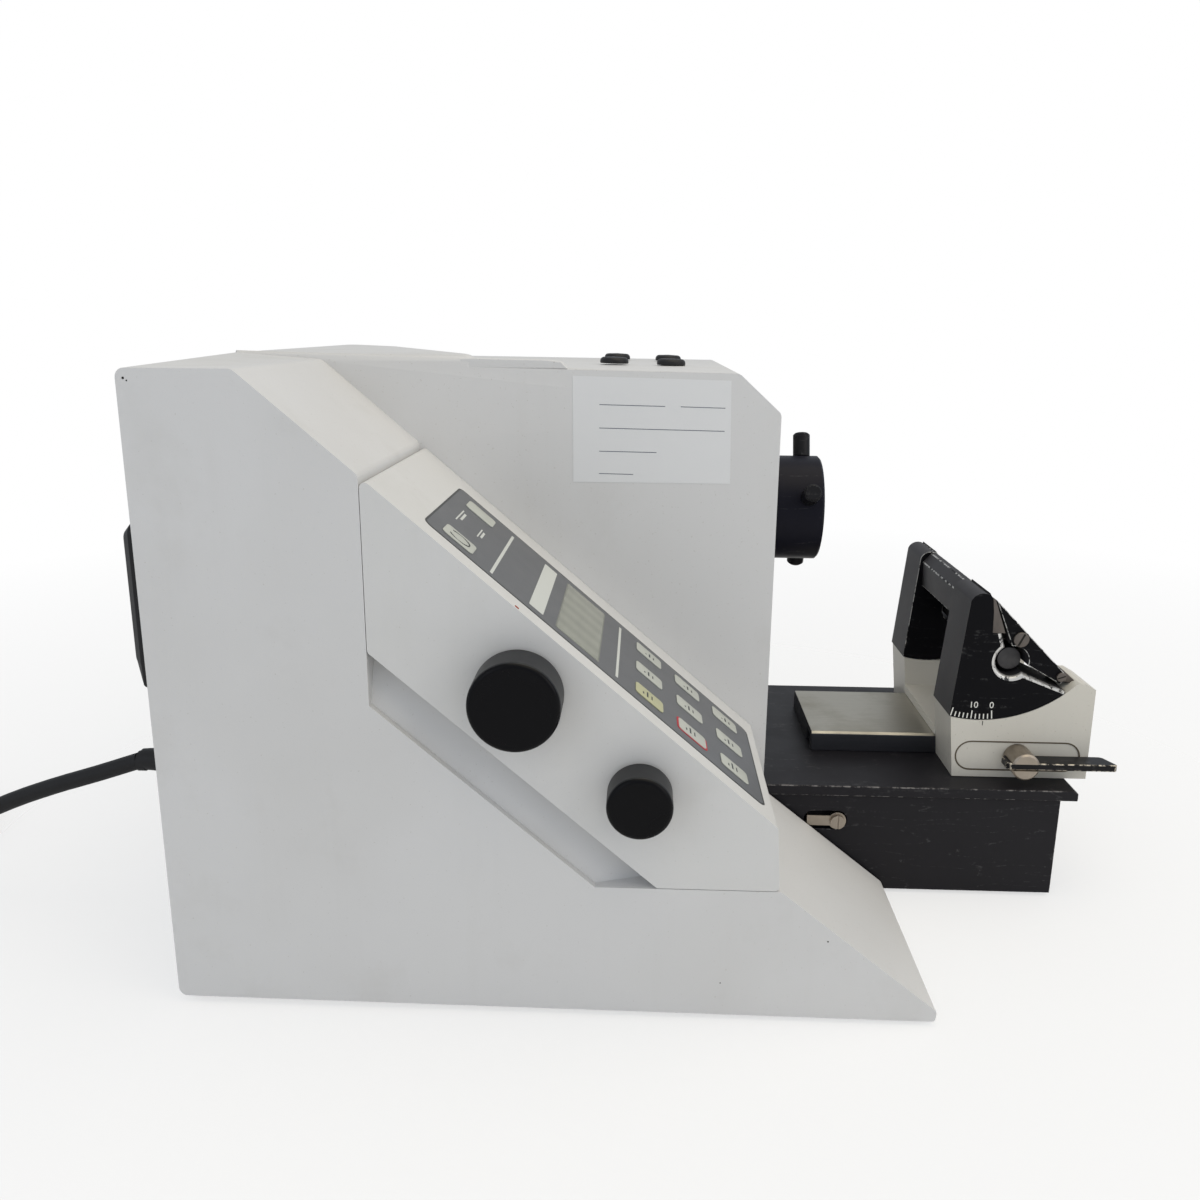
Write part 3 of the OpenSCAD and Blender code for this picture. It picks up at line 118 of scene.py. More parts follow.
class Wire:
    """One socket of a finish. A sum on it adds the Math nodes that it needs."""

    def __init__(self, finish, socket):
        self.finish, self.socket = finish, socket

    def _sum(self, operation, first, second=0.0):
        return self.finish.node("ShaderNodeMath", {"operation": operation}, {0: first, 1: second})

    def __add__(self, other):
        return self._sum("ADD", self, other)

    def __radd__(self, other):
        return self._sum("ADD", other, self)

    def __sub__(self, other):
        return self._sum("SUBTRACT", self, other)

    def __rsub__(self, other):
        return self._sum("SUBTRACT", other, self)

    def __mul__(self, other):
        return self._sum("MULTIPLY", self, other)

    def __rmul__(self, other):
        return self._sum("MULTIPLY", other, self)

    def __abs__(self):
        return self._sum("ABSOLUTE", self)

    def sine(self):
        return self._sum("SINE", self)

    def held(self):
        """The value kept from 0 to 1."""
        return self.finish.node("ShaderNodeClamp", {}, {"Value": self})


class Finish:
    """A material under construction."""

    def __init__(self, name, **fixed):
        self.material = bpy.data.materials.new(name)
        self.material.use_nodes = True
        self.tree = self.material.node_tree
        self.shader = self.tree.nodes["Principled BSDF"]
        for socket, value in fixed.items():
            self.shader.inputs[socket.replace("_", " ")].default_value = value

    def node(self, kind, settings=None, values=None, out=0):
        """A node with its settings, then the values or wires of its sockets."""
        made = self.tree.nodes.new(kind)
        for key, value in (settings or {}).items():
            if key == "stops":
                ramp = made.color_ramp
                while len(ramp.elements) < len(value):
                    ramp.elements.new(0.5)
                for element, (place, colour) in zip(ramp.elements, value):
                    element.position, element.color = place, colour
            else:
                setattr(made, key, value)
        for key, value in (values or {}).items():
            self.join(made.inputs[key], value)
        return Wire(self, made.outputs[out])

    def join(self, socket, value):
        if isinstance(value, Wire):
            self.tree.links.new(value.socket, socket)
        else:
            socket.default_value = value

    def set(self, **values):
        """Gives the shader's own sockets their values or wires."""
        for socket, value in values.items():
            self.join(self.shader.inputs[socket.replace("_", " ")], value)
        return self

    def place(self, scale=(1, 1, 1), turn=(0, 0, 0), centre=(0, 0, 0)):
        """Object coordinates, moved to a centre, turned and scaled."""
        found = self.node("ShaderNodeTexCoord", out="Object")
        if any(centre):
            found = self.node("ShaderNodeVectorMath", {"operation": "SUBTRACT"}, {0: found, 1: tuple(centre)})
        return self.node("ShaderNodeMapping", {}, {"Vector": found, "Rotation": turn, "Scale": scale},)

    def noise(self, scale, detail=3.0, rough=0.5, stretch=(1, 1, 1), turn=(0, 0, 0), shift=0.0):
        """Clouded noise on the piece's own coordinates."""
        where = self.place(stretch, turn, (shift, -shift, shift * 0.7) if shift else (0, 0, 0))
        return self.node(
            "ShaderNodeTexNoise",
            {},
            {"Vector": where, "Scale": scale, "Detail": detail, "Roughness": rough},
            out="Fac",
        )

    def axes(self, centre=(0, 0, 0), turn=(0, 0, 0)):
        """The three coordinates round a centre, in metres."""
        split = self.node("ShaderNodeSeparateXYZ", {}, {0: self.place(turn=turn, centre=centre)})
        outs = split.socket.node.outputs
        return [Wire(self, outs[i]) for i in range(3)]

    def blend(self, factor, first, second, way="MIX"):
        """A colour between two."""
        return self.node(
            "ShaderNodeMix", {"data_type": "RGBA", "blend_type": way}, {0: factor, 6: first, 7: second},
            out=2,
        )

    def bump(self, height, strength, depth):
        """A relief of that depth in metres, on the shader's normal."""
        made = self.node(
            "ShaderNodeBump", {}, {"Strength": strength, "Distance": depth, "Height": height}, out="Normal"
        )
        return self.set(Normal=made)


FINISHES = {}


def finish(name):
    """The material of that name, made once."""
    return FINISHES[name].material


def paint_finish(name, base, dirt, rough, peel):
    """Stove enamel on a moulded cover: a faint orange peel, soft patches, grime and dust specks."""
    f = FINISHES[name] = Finish(name, Specular_IOR_Level=0.42)
    patches = f.noise(9.0, 2.0, 0.5)
    streaks = f.noise(60.0, 4.0, 0.6, stretch=(1.0, 1.0, 0.12))
    specks = (f.noise(900.0, 1.0, 0.4) - 0.72) * 14
    smudge = ((f.noise(24.0, 5.0, 0.62, shift=0.31) - 0.56) * 5).held()
    dirtied = (patches - 0.5).held() * 0.4 + (streaks - 0.55).held() * 0.22
    grime = (dirtied + specks.held() * 0.3 + smudge * 0.1).held()
    f.set(Base_Color=f.blend(grime, base, dirt), Roughness=rough + (patches - 0.5) * 0.12 + smudge * 0.1)
    return f.bump(f.noise(1400.0, 2.0, 0.5) + f.noise(190.0, 1.0, 0.5) * 0.6, peel, 0.0002)


def worn_finish(name, base, rough, bare, amount, chips=0.0, scale=260.0, tint=None, level=0.2):
    """Black enamel or anodising that is rubbed through: name for faces, name and ' edge' for edges."""
    for edge in (False, True):
        f = Finish(name + (" edge" if edge else ""), Specular_IOR_Level=level)
        FINISHES[f.material.name] = f
        cloud = f.noise(38.0, 4.0, 0.6)
        fine = f.noise(scale, 6.0, 0.7)
        scratch = (
            0.018 - abs(f.noise(16.0, 2.0, 0.4, stretch=(1.0, 3.0, 9.0), turn=(0.3, 0.2, 0.5)) - 0.5)
        ) * 60
        scuffs = scratch.held() * ((fine - 0.5) * 9).held()
        if edge:
            worn = ((fine * 0.75 + cloud * 0.25 - (0.5 - amount * 0.5)) * 16).held()
        else:
            worn = ((fine - (0.80 - chips)) * 26).held()
        dusty = f.blend((cloud - 0.35).held() * 0.55, base, tint or tuple(c * 1.7 for c in base[:3]) + (1.0,))
        scored = f.blend(scuffs * 0.16, dusty, (0.2, 0.2, 0.2, 1.0))
        f.set(
            Base_Color=f.blend(worn, scored, bare), Roughness=rough + (cloud - 0.5) * 0.25 + worn * 0.05,
            Metallic=worn * 0.85,
        )
        f.bump(fine * 0.3 - worn, 0.35, 0.00012)


def metal_finish(name, base, rough, grain=(1, 1, 1), scale=220.0, depth=0.25, stain=0.5, turn=(0, 0, 0)):
    """Bare metal with a directed grain and dull patches."""
    f = FINISHES[name] = Finish(name, Metallic=1.0)
    lines = f.noise(scale, 5.0, 0.65, stretch=grain, turn=turn)
    patches = f.noise(26.0, 4.0, 0.6, shift=0.2)
    dull = ((patches - 0.48) * 3).held()
    f.set(
        Base_Color=f.blend(
            dull * stain + (lines - 0.5) * 0.5, base, tuple(c * 0.55 for c in base[:3]) + (1.0,)
        ),
        Roughness=rough + dull * 0.18 + (lines - 0.5) * 0.25,
    )
    return f.bump(lines, depth, 0.00008)


def plastic_finish(name, base, rough, grain=700.0, strength=0.08, level=0.3, dust=0.25):
    """Moulded plastic or rubber with a fine grain and a little dust."""
    f = FINISHES[name] = Finish(name, Specular_IOR_Level=level)
    cloud = f.noise(30.0, 3.0, 0.6)
    light = tuple(min(1.0, c * 1.6 + 0.012) for c in base[:3]) + (1.0,)
    f.set(
        Base_Color=f.blend((cloud - 0.4).held() * dust * 2, base, light),
        Roughness=rough + (cloud - 0.5) * 0.2,
    )
    return f.bump(f.noise(grain, 3.0, 0.6), strength, 0.0002)


def board_finish(name):
    """Green lacquer over copper tracks."""
    f = FINISHES[name] = Finish(name, Roughness=0.35)
    x, y, _ = f.axes()
    tracks = ((x * 1900).sine() * (y * 2300).sine() - 0.25) * 9
    f.set(
        Base_Color=f.blend(tracks.held(), (0.012, 0.09, 0.03, 1), (0.05, 0.22, 0.07, 1)),
        Roughness=0.3 + f.noise(120.0) * 0.2,
    )
    return f.bump(tracks.held(), 0.4, 0.0001)


def display_finish(name):
    """A liquid crystal window behind a scuffed pane."""
    f = FINISHES[name] = Finish(name, Roughness=0.16, Coat_Weight=0.3)
    centre = on_slope(118, 58)
    _, y, _ = f.axes(centre, (0, -SLOPE, 0))
    rows = ((y * 430).sine() * 0.5 + 0.5) * 0.35
    haze = f.noise(90.0, 4.0, 0.6, stretch=(1, 0.2, 1))
    f.set(Base_Color=f.blend((rows + (haze - 0.4) * 0.9).held(), srgb(146, 149, 136), srgb(108, 111, 100)))
    return f.bump(haze, 0.1, 0.0001)


def make_finishes(colours):
    """Every finish on the machine."""
    cover, pod = tuple(colours.cover) + (1.0,), tuple(colours.pod) + (1.0,)
    paint_finish("cover paint", cover, (0.36, 0.34, 0.29, 1), 0.44, 0.10)
    paint_finish("pod paint", pod, (0.38, 0.36, 0.30, 1), 0.46, 0.12)
    paint_finish("holder paint", tuple(colours.holder) + (1.0,), (0.24, 0.21, 0.16, 1), 0.42, 0.08)
    paint_finish("wheel paint", cover, (0.36, 0.34, 0.29, 1), 0.36, 0.05)
    paint_finish("machine paint", srgb(120, 126, 126), (0.10, 0.10, 0.10, 1), 0.5, 0.2)
    # colour on a screen, roughness, grain and its strength, gloss, dust
    for name, shade, *values in (
        ("cast floor", (58, 60, 63), 0.6, 420, 0.4, 0.3, 0.5),
        ("foot rubber", (24, 24, 25), 0.78, 900, 0.2, 0.2, 0.5),
        ("belt rubber", (20, 20, 21), 0.7, 900, 0.2, 0.2, 0.4),
        ("black plastic", (27, 27, 29), 0.5, 800, 0.15, 0.3, 0.35),
        ("motor black", (34, 35, 37), 0.45, 500, 0.2, 0.35, 0.3),
        ("cord jacket", (23, 23, 25), 0.5, 600, 0.06, 0.3, 0.4),
        ("knob skirt", (17, 18, 21), 0.42, 1200, 0.05, 0.4, 0.2),
        ("knob face", (7, 7, 10), 0.28, 1500, 0.02, 0.12, 0.08),
        ("foil", colours_255(colours.foil), 0.42, 1600, 0.10, 0.35, 0.06),
        ("key cap", (186, 189, 182), 0.45, 1600, 0.06, 0.35, 0),
        ("key cap yellow", (184, 184, 150), 0.45, 1600, 0.06, 0.35, 0),
        ("key mark", (52, 56, 60), 0.5, 900, 0.02, 0.3, 0),
        ("key red", (186, 44, 58), 0.5, 900, 0.02, 0.3, 0),
        ("foil line", (205, 208, 204), 0.45, 900, 0.02, 0.3, 0),
        ("scale white", (226, 226, 220), 0.5, 900, 0.02, 0.3, 0),
        ("foil rim", (66, 69, 70), 0.45, 900, 0.04, 0.3, 0),
        ("display frame", (120, 123, 116), 0.4, 900, 0.04, 0.35, 0),
        ("rust", (150, 62, 44), 0.7, 900, 0.1, 0.2, 0),
        # a brown for the ring where the side plate's groove runs, a flat piece with no recess: painted shade
        # for the groove
        ("groove brown", (92, 84, 72), 0.7, 900, 0.05, 0.2, 0.2),
        ("label paper", (222, 223, 224), 0.55, 1500, 0.05, 0.3, 0.02),
        ("label ink", (96, 102, 112), 0.6, 900, 0.02, 0.2, 0),
        # a dark brown-black for paint chips, printed marks and the screw slots; on the slots, flat plates
        # with no recess, it is painted shade
        ("groove dark", (34, 33, 30), 0.7, 900, 0.05, 0.2, 0.3),
        # a lighter grey copy of the segment's black, for its faces that turn up and sideways: painted light
        ("segment side", (48, 47, 50), 0.55, 500, 0.2, 0.3, 0.3),
    ):
        plastic_finish(name, srgb(*shade), *values)
    worn_finish(
        "segment black", srgb(9, 9, 13), 0.5, srgb(196, 196, 194), 0.085, 0.0, tint=srgb(15, 15, 20),
        level=0.1,
    )
    worn_finish("base black", srgb(27, 26, 30), 0.46, srgb(120, 118, 118), 0.0, 0.0)
    worn_finish("lever black", srgb(17, 17, 20), 0.36, srgb(196, 188, 174), 0.05, -0.03)
    worn_finish(
        "head black", srgb(22, 22, 31), 0.38, srgb(170, 172, 176), -0.14, -0.2, tint=srgb(28, 28, 40),
        level=0.1,
    )
    worn_finish("screw black", srgb(16, 16, 20), 0.42, srgb(176, 174, 170), 0.0, -0.03)
    worn_finish("bared metal", srgb(60, 60, 62), 0.4, srgb(214, 213, 211), 0.5, 0.37)
    # colour on a screen, roughness, direction of the grain, its scale and depth, stain
    for name, shade, *values in (
        ("guide steel", (184, 180, 168), 0.42, (6, 90, 90), 12, 0.2, 0.5),
        ("guide edge", (74, 75, 80), 0.5, (4, 60, 60), 10, 0.2, 0.4),
        ("steel", (186, 186, 184), 0.3, (1, 1, 1), 300, 0.12, 0.35),
        ("turned steel", (190, 190, 188), 0.26, (1, 60, 1), 30, 0.12, 0.3),
        ("sheet metal", (176, 178, 176), 0.42, (1, 1, 30), 20, 0.15, 0.4),
        ("dull steel", (112, 106, 102), 0.5, (1, 1, 1), 200, 0.3, 0.6),
        ("bar steel", (84, 83, 84), 0.5, (1, 1, 1), 200, 0.3, 0.6),
        ("nickel", (168, 158, 146), 0.36, (1, 1, 1), 160, 0.3, 0.7),
        ("alloy", (178, 180, 182), 0.44, (1, 1, 1), 420, 0.35, 0.3),
        ("transformer core", (110, 104, 98), 0.55, (1, 1, 160), 14, 0.5, 0.5),
    ):
        metal_finish(name, srgb(*shade), *values)
    board_finish("circuit board")
    display_finish("display pane")


def colours_255(colour):
    """A linear colour as the numbers of a screen."""
    return [255 * (12.92 * c if c <= 0.0031308 else 1.055 * c ** (1 / 2.4) - 0.055) for c in colour]


# ---------------------------------------------------------------- making


def rest():
    """Leaves edit mode with nothing selected."""
    if bpy.context.object and bpy.context.object.mode != "OBJECT":
        bpy.ops.object.mode_set(mode="OBJECT")
    bpy.ops.object.select_all(action="DESELECT")


def pick(piece):
    """Selects one piece alone."""
    rest()
    piece.select_set(True)
    bpy.context.view_layer.objects.active = piece
    return piece


def settle(piece):
    """Puts a piece's place into its mesh."""
    pick(piece)
    bpy.ops.object.transform_apply(location=True, rotation=True, scale=True)
    return piece


def edit(piece, mode="FACE"):
    """Enters edit mode on a piece with nothing selected."""
    pick(piece)
    bpy.ops.object.mode_set(mode="EDIT")
    bpy.ops.mesh.select_mode(type=mode)
    bpy.ops.mesh.select_all(action="DESELECT")


def name_piece(piece, name, *materials):
    """Names a piece and gives it its finishes."""
    piece.name = piece.data.name = name
    piece.data.materials.clear()
    for material in materials:
        piece.data.materials.append(finish(material))
    return piece


def modify(piece, kind, **settings):
    """Adds a modifier and applies it."""
    pick(piece)
    made = piece.modifiers.new(kind.lower(), kind)
    for key, value in settings.items():
        setattr(made, key, value)
    bpy.ops.object.modifier_apply(modifier=made.name)


def smooth(piece, degrees=40):
    """Shades a piece smooth, save for its sharper edges."""
    pick(piece)
    bpy.ops.object.shade_smooth_by_angle(angle=math.radians(degrees))


def round_front(piece, y, width, wanted=None, material=-1, segments=4, clamp=True):
    """Rounds a piece's edges that lie in the upright plane at y, in machine millimetres."""
    plane = (y + DATUM.y) * MM
    edit(piece, "EDGE")
    bpy.ops.object.mode_set(mode="OBJECT")
    points = [vertex.co for vertex in piece.data.vertices]
    for edge in piece.data.edges:
        ends = [points[i] for i in edge.vertices]
        flat = all(abs(point.y - plane) < 0.00002 for point in ends)
        middle = (ends[0] + ends[1]) / 2 / MM - DATUM
        edge.select = flat and (wanted is None or wanted(middle))
    bpy.ops.object.mode_set(mode="EDIT")
    bpy.ops.mesh.bevel(offset=width * MM, segments=segments, clamp_overlap=clamp, material=material)
    rest()
    return piece


def outline_piece(name, outlines, y0, y1, material, body):
    """A piece with those outlines in X and Z, in machine millimetres, from y0 to y1. Inner ones are holes."""
    rest()
    curve = bpy.data.curves.new(name, "CURVE")
    curve.dimensions = "2D"
    curve.fill_mode = "BOTH"
    curve.extrude = (y1 - y0) / 2 * MM
    for outline in outlines:
        spline = curve.splines.new("POLY")
        spline.points.add(len(outline) - 1)
        for point, (x, z) in zip(spline.points, outline):
            point.co = ((x + DATUM.x) * MM, (z + DATUM.z) * MM, 0.0, 1.0)
        spline.use_cyclic_u = True
    piece = bpy.data.objects.new(name, curve)
    bpy.context.scene.collection.objects.link(piece)
    pick(piece)
    bpy.ops.object.convert(target="MESH")
    piece = bpy.context.object
    piece.rotation_euler = (math.pi / 2, 0.0, 0.0)
    piece.location = (0.0, ((y0 + y1) / 2 + DATUM.y) * MM, 0.0)
    settle(piece)
    edit(piece)
    bpy.ops.mesh.select_all(action="SELECT")
    bpy.ops.mesh.remove_doubles(threshold=0.000005)
    bpy.ops.mesh.dissolve_limited(angle_limit=math.radians(0.4))
    bpy.ops.mesh.normals_make_consistent(inside=False)
    rest()
    name_piece(piece, name, material)
    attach(piece, body)
    return piece


def ring(x, z, radius, first, last, count=24):
    """Points of an arc in X and Z, by its first and last angle in degrees."""
    return [
        (
            x + radius * math.cos(math.radians(first + (last - first) * i / count)),
            z + radius * math.sin(math.radians(first + (last - first) * i / count)),
        )
        for i in range(count + 1)
    ]


def rod(name, x, z, radius, y0, y1, material, body, bevel=0.0, sides=64):
    """A round bar along Y."""
    rest()
    bpy.ops.mesh.primitive_cylinder_add(
        vertices=sides, radius=radius * MM, depth=(y1 - y0) * MM, location=spot(x, (y0 + y1) / 2, z),
        rotation=(math.pi / 2, 0.0, 0.0),
    )
    piece = settle(bpy.context.object)
    name_piece(piece, name, material)
    if bevel:
        modify(piece, "BEVEL", width=bevel * MM, segments=3, limit_method="ANGLE")
    smooth(piece)
    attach(piece, body)
    return piece


def soften(piece, width, edge_slot=1, segments=3):
    """Rounds every sharp edge and shades the piece smooth."""
    modify(
        piece, "BEVEL", width=width * MM, segments=segments, limit_method="ANGLE",
        angle_limit=math.radians(32), material=edge_slot, use_clamp_overlap=True, miter_outer="MITER_ARC",
    )
    smooth(piece, 44)
    modify(piece, "WEIGHTED_NORMAL", keep_sharp=True, weight=70)
    return piece


def pushed(piece, limit, shift):
    """Moves what lies beyond a limit in Y further out, in millimetres."""
    return moved(piece, lambda x, y, z: (0.0, shift, 0.0) if y > limit else (0.0, 0.0, 0.0))


def moved(piece, shift):
    """Moves each vertex by what a function of its place gives, both in machine millimetres."""
    for vertex in piece.data.vertices:
        vertex.co += Vector(shift(*(vertex.co / MM - DATUM))) * MM
    return piece


def numeral(text, x, z, y, height, material, body):
    """A printed number on a face that looks towards -Y."""
    rest()
    bpy.ops.object.text_add(location=spot(x, y, z), rotation=(math.pi / 2, 0.0, 0.0))
    piece = bpy.context.object
    piece.data.body = text
    piece.data.size = height * 1.42 * MM
    piece.data.align_x = "CENTER"
    piece.data.extrude = 0.03 * MM
    bpy.ops.object.convert(target="MESH")
    piece = settle(bpy.context.object)
    name_piece(piece, "scale_number_" + text, material)
    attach(piece, body)
    return piece


def dressed(node, face, edge=None, width=0.4, segments=3, front=None):
    """A cleaned copy of a CAD node with rounded edges, which stands for it."""
    source = frame["nodes"][node]
    piece = source.copy()
    piece.data = source.data.copy()
    bpy.context.scene.collection.objects.link(piece)
    piece.parent = None
    for key in list(piece.keys()):
        del piece[key]
    name_piece(piece, node + "_skin", face, edge or face)
    edit(piece)
    bpy.ops.mesh.select_all(action="SELECT")
    bpy.ops.mesh.remove_doubles(threshold=0.00001)
    bpy.ops.mesh.dissolve_limited(angle_limit=math.radians(0.4))
    rest()
    for polygon in piece.data.polygons:
        polygon.material_index = 0
    if front:
        round_front(piece, *front)
    soften(piece, width, 1, segments)
    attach(piece, body_of(node))
    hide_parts(node)
    return piece


def coat(node, *materials):
    """Gives a CAD node its finish and leaves its mesh alone."""
    piece = frame["nodes"][node]
    for index in range(max(1, len(piece.material_slots))):
        if not piece.material_slots:
            piece.data.materials.append(None)
        piece.material_slots[index].material = finish(materials[min(index, len(materials) - 1)])
    return piece


def slope_plate(name, low, high, material, lift=0.02, thick=0.12, corner=0.0, bevel=0.0):
    """A thin plate on the pod's slope, from (along, y) to (along, y), with round corners."""
    rest()
    bpy.ops.mesh.primitive_plane_add(size=1.0)
    piece = bpy.context.object
    piece.scale = ((high[0] - low[0]) * MM, (high[1] - low[1]) * MM, 1.0)
    settle(piece)
    if corner:
        edit(piece, "VERT")
        bpy.ops.mesh.select_all(action="SELECT")
        bpy.ops.mesh.bevel(offset=corner * MM, segments=4, affect="VERTICES")
        rest()
    modify(piece, "SOLIDIFY", thickness=thick * MM, offset=1.0)
    piece.rotation_euler = (0.0, SLOPE, 0.0)
    piece.location = on_slope((low[0] + high[0]) / 2, (low[1] + high[1]) / 2, lift)
    settle(piece)
    name_piece(piece, name, material)
    if bevel:
        modify(
            piece, "BEVEL", width=bevel * MM, segments=2, limit_method="ANGLE", angle_limit=math.radians(40)
        )
        smooth(piece)
    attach(piece, "housing")
    return piece


def body_of(node):
    """The body that a CAD node rides on."""
    return frame["nodes"][node]["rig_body"]


def dress(*rows):
    """Dresses CAD nodes: each with its finish, that of its edges and its rounding. The record's slot in each
    row is not used.
    """
    for node, face, edge, width, segments, slot in rows:
        dressed(node, face, edge, width, segments)


def gathered(name, pieces, material, body):
    """Several pieces of one finish made one, on its body."""
    made = name_piece(join(name, pieces), name, material)
    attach(made, body)
    return made


def join(name, pieces):
    """Several pieces made one mesh."""
    rest()
    for piece in pieces:
        piece.select_set(True)
    bpy.context.view_layer.objects.active = pieces[0]
    bpy.ops.object.join()
    made = bpy.context.object
    made.name = made.data.name = name
    return made


# ---------------------------------------------------------------- values a user would change


def enamel(name, description, *screen):
    """A colour property, with its default as a screen shows it."""
    default = srgb(*screen)[:3]
    return bpy.props.FloatVectorProperty(name=name, description=description, subtype="COLOR", default=default)


class MICROTOME_PG_colours(bpy.types.PropertyGroup):
    """Colours of the machine."""

    cover: enamel("Cover", "Enamel of the cover", 211, 211, 211)
    pod: enamel("Control pod", "Enamel of the pod", 211, 211, 210)
    holder: enamel("Knife holder", "Enamel of the holder", 205, 202, 193)
    foil: enamel("Keypad", "Ground colour of the foil", 99, 101, 105)


class MICROTOME_PG_view(bpy.types.PropertyGroup):
    """The camera."""

    lens: bpy.props.FloatProperty(
        name="Lens", description="Focal length on a 36 mm sensor", default=31.775, min=10, max=200
    )
    pitch: bpy.props.FloatProperty(
        name="Pitch", description="Angle below the horizon, in degrees", default=14.5894
    )
    yaw: bpy.props.FloatProperty(
        name="Yaw", description="Angle from straight ahead, in degrees", default=-2.15842
    )
    roll: bpy.props.FloatProperty(name="Roll", description="Tilt of the camera, in degrees", default=-0.44005)


class MICROTOME_PG_lead(bpy.types.PropertyGroup):
    """The mains lead."""

    radius: bpy.props.FloatProperty(
        name="Radius", description="Half the lead's thickness", default=0.0045, unit="LENGTH"
    )


# ---------------------------------------------------------------- stage, camera and lead


class MICROTOME_OT_stage(bpy.types.Operator):
    """Lay the pale floor and hang the soft lamps"""

    bl_idname = "microtome.stage"
    bl_label = "Stage"

    def execute(self, context):
        make_finishes(context.scene.microtome_colours)
        f = Finish("studio floor", Roughness=0.85, Specular_IOR_Level=0.2)
        f.set(Base_Color=f.blend(f.noise(2.0, 2.0), (0.86, 0.86, 0.86, 1), (0.84, 0.84, 0.84, 1)))
        # the camera sees a faint floor with its shadow round the machine, white beyond, and none from below
        clear = f.node("ShaderNodeBsdfTransparent", out="BSDF")
        path = f.node("ShaderNodeLightPath", out="Is Camera Ray")
        below = f.node("ShaderNodeNewGeometry", out="Backfacing")
        near = f.node(
            "ShaderNodeTexGradient", {"gradient_type": "SPHERICAL"}, {"Vector": f.place((0.9, 0.9, 0.9))},
            out="Fac",
        )
        both = f.node(
            "ShaderNodeMixShader",
            {},
            {0: path * (1.0 - near * 0.45 * (1.0 - below)), 1: Wire(f, f.shader.outputs[0]), 2: clear},
            out="Shader",
        )
        out = f.tree.nodes["Material Output"]
        f.tree.links.new(both.socket, out.inputs["Surface"])
        rest()
        bpy.ops.mesh.primitive_plane_add(size=14.0, location=(0, 1.0, 0))
        floor = bpy.context.object
        edit(floor)
        bpy.ops.mesh.select_all(action="SELECT")
        bpy.ops.mesh.subdivide(number_cuts=4)
        rest()
        floor.name = "studio_floor"
        floor.data.materials.append(f.material)
        settle(floor)

        world = context.scene.world or bpy.data.worlds.new("studio")
        context.scene.world = world
        world.use_nodes = True
        tree = world.node_tree
        tree.nodes.clear()
        soft, white = (tree.nodes.new("ShaderNodeBackground") for _ in range(2))
        soft.inputs["Color"].default_value = (0.88, 0.93, 1.0, 1.0)
        soft.inputs["Strength"].default_value = 0.62
        white.inputs["Color"].default_value = (1.0, 1.0, 1.0, 1.0)
        rays = tree.nodes.new("ShaderNodeLightPath")
        mix = tree.nodes.new("ShaderNodeMixShader")
        tree.links.new(rays.outputs["Is Camera Ray"], mix.inputs[0])
        tree.links.new(soft.outputs[0], mix.inputs[1])
        tree.links.new(white.outputs[0], mix.inputs[2])
        sky = tree.nodes.new("ShaderNodeOutputWorld")
        tree.links.new(mix.outputs[0], sky.inputs["Surface"])

        for name, place, aim, size, power, colour in (
            ("lamp_above", (0.35, -0.25, 1.7), (0.0, 0.0, 0.15), 1.5, 11.5, (1.0, 0.88, 0.66)),
            ("lamp_side", (-1.3, -1.7, 0.9), (-0.05, 0.0, 0.12), 1.2, 3.2, (0.90, 0.94, 1.0)),
            ("lamp_right", (1.5, -0.9, 0.9), (0.1, 0.0, 0.1), 1.2, 6.0, (1.0, 0.95, 0.88)),
        ):
            rest()
            bpy.ops.object.light_add(type="AREA", location=place)
            lamp = bpy.context.object
            lamp.name = name
            lamp.data.shape = "SQUARE"
            lamp.data.size = size
            lamp.data.energy = power
            lamp.data.color = colour
            lamp.rotation_euler = (Vector(aim) - Vector(place)).to_track_quat("-Z", "Y").to_euler()
        context.scene.view_settings.view_transform = "Standard"
        return {"FINISHED"}


class MICROTOME_OT_camera(bpy.types.Operator):
    """Set the camera at the photographed angle"""

    bl_idname = "microtome.camera"
    bl_label = "Camera"

    def execute(self, context):
        values = context.scene.microtome_view
        p, y, r = (math.radians(v) for v in (values.pitch, values.yaw, values.roll))
        ahead = Vector((math.sin(y) * math.cos(p), math.cos(y) * math.cos(p), -math.sin(p)))
        level = Vector((math.cos(y), -math.sin(y), 0.0))
        under = ahead.cross(level)
        right = math.cos(r) * level + math.sin(r) * under
        down = -math.sin(r) * level + math.cos(r) * under
        rest()
        bpy.ops.object.camera_add(location=spot(0.0, -430.365, 308.86))
        camera = bpy.context.object
        camera.name = "photo_camera"
        camera.data.lens = values.lens
        camera.data.sensor_width = 36.0
        camera.data.clip_start = 0.01
        camera.rotation_euler = Matrix((right, -down, -ahead)).transposed().to_euler()
        context.scene.camera = camera
        return {"FINISHED"}


LEAD_RUN = [
    (-262, 80, 84), (-285, 80, 76.2), (-310, 80, 68.2), (-335, 80, 58.8), (-358, 80, 47.5),
    (-380, 80.2, 31.5), (-400, 81, 16), (-417, 83, 5.5), (-432, 85.6, 1.3), (-447, 87.4, 0.5),
    (-457, 87.9, 0.5),
]
LEAD_TAIL = [
    (-416.3, 115.4, 9.9), (-424, 100, 10.6), (-432.5, 86, 10.9), (-439, 73, 9.2), (-443.5, 64, 7.4),
    (-446, 56, 6.4), (-447, 45, 6),
]
COIL_CENTRE, COIL_RADIUS, COIL_END = (-468.0, 146.0), 58.0, 1725


def eased(start, stop, value):
    """0 before start, 1 after stop, and a soft rise between them."""
    share = min(1.0, max(0.0, (value - start) / (stop - start)))
    return share * share * (3 - 2 * share)


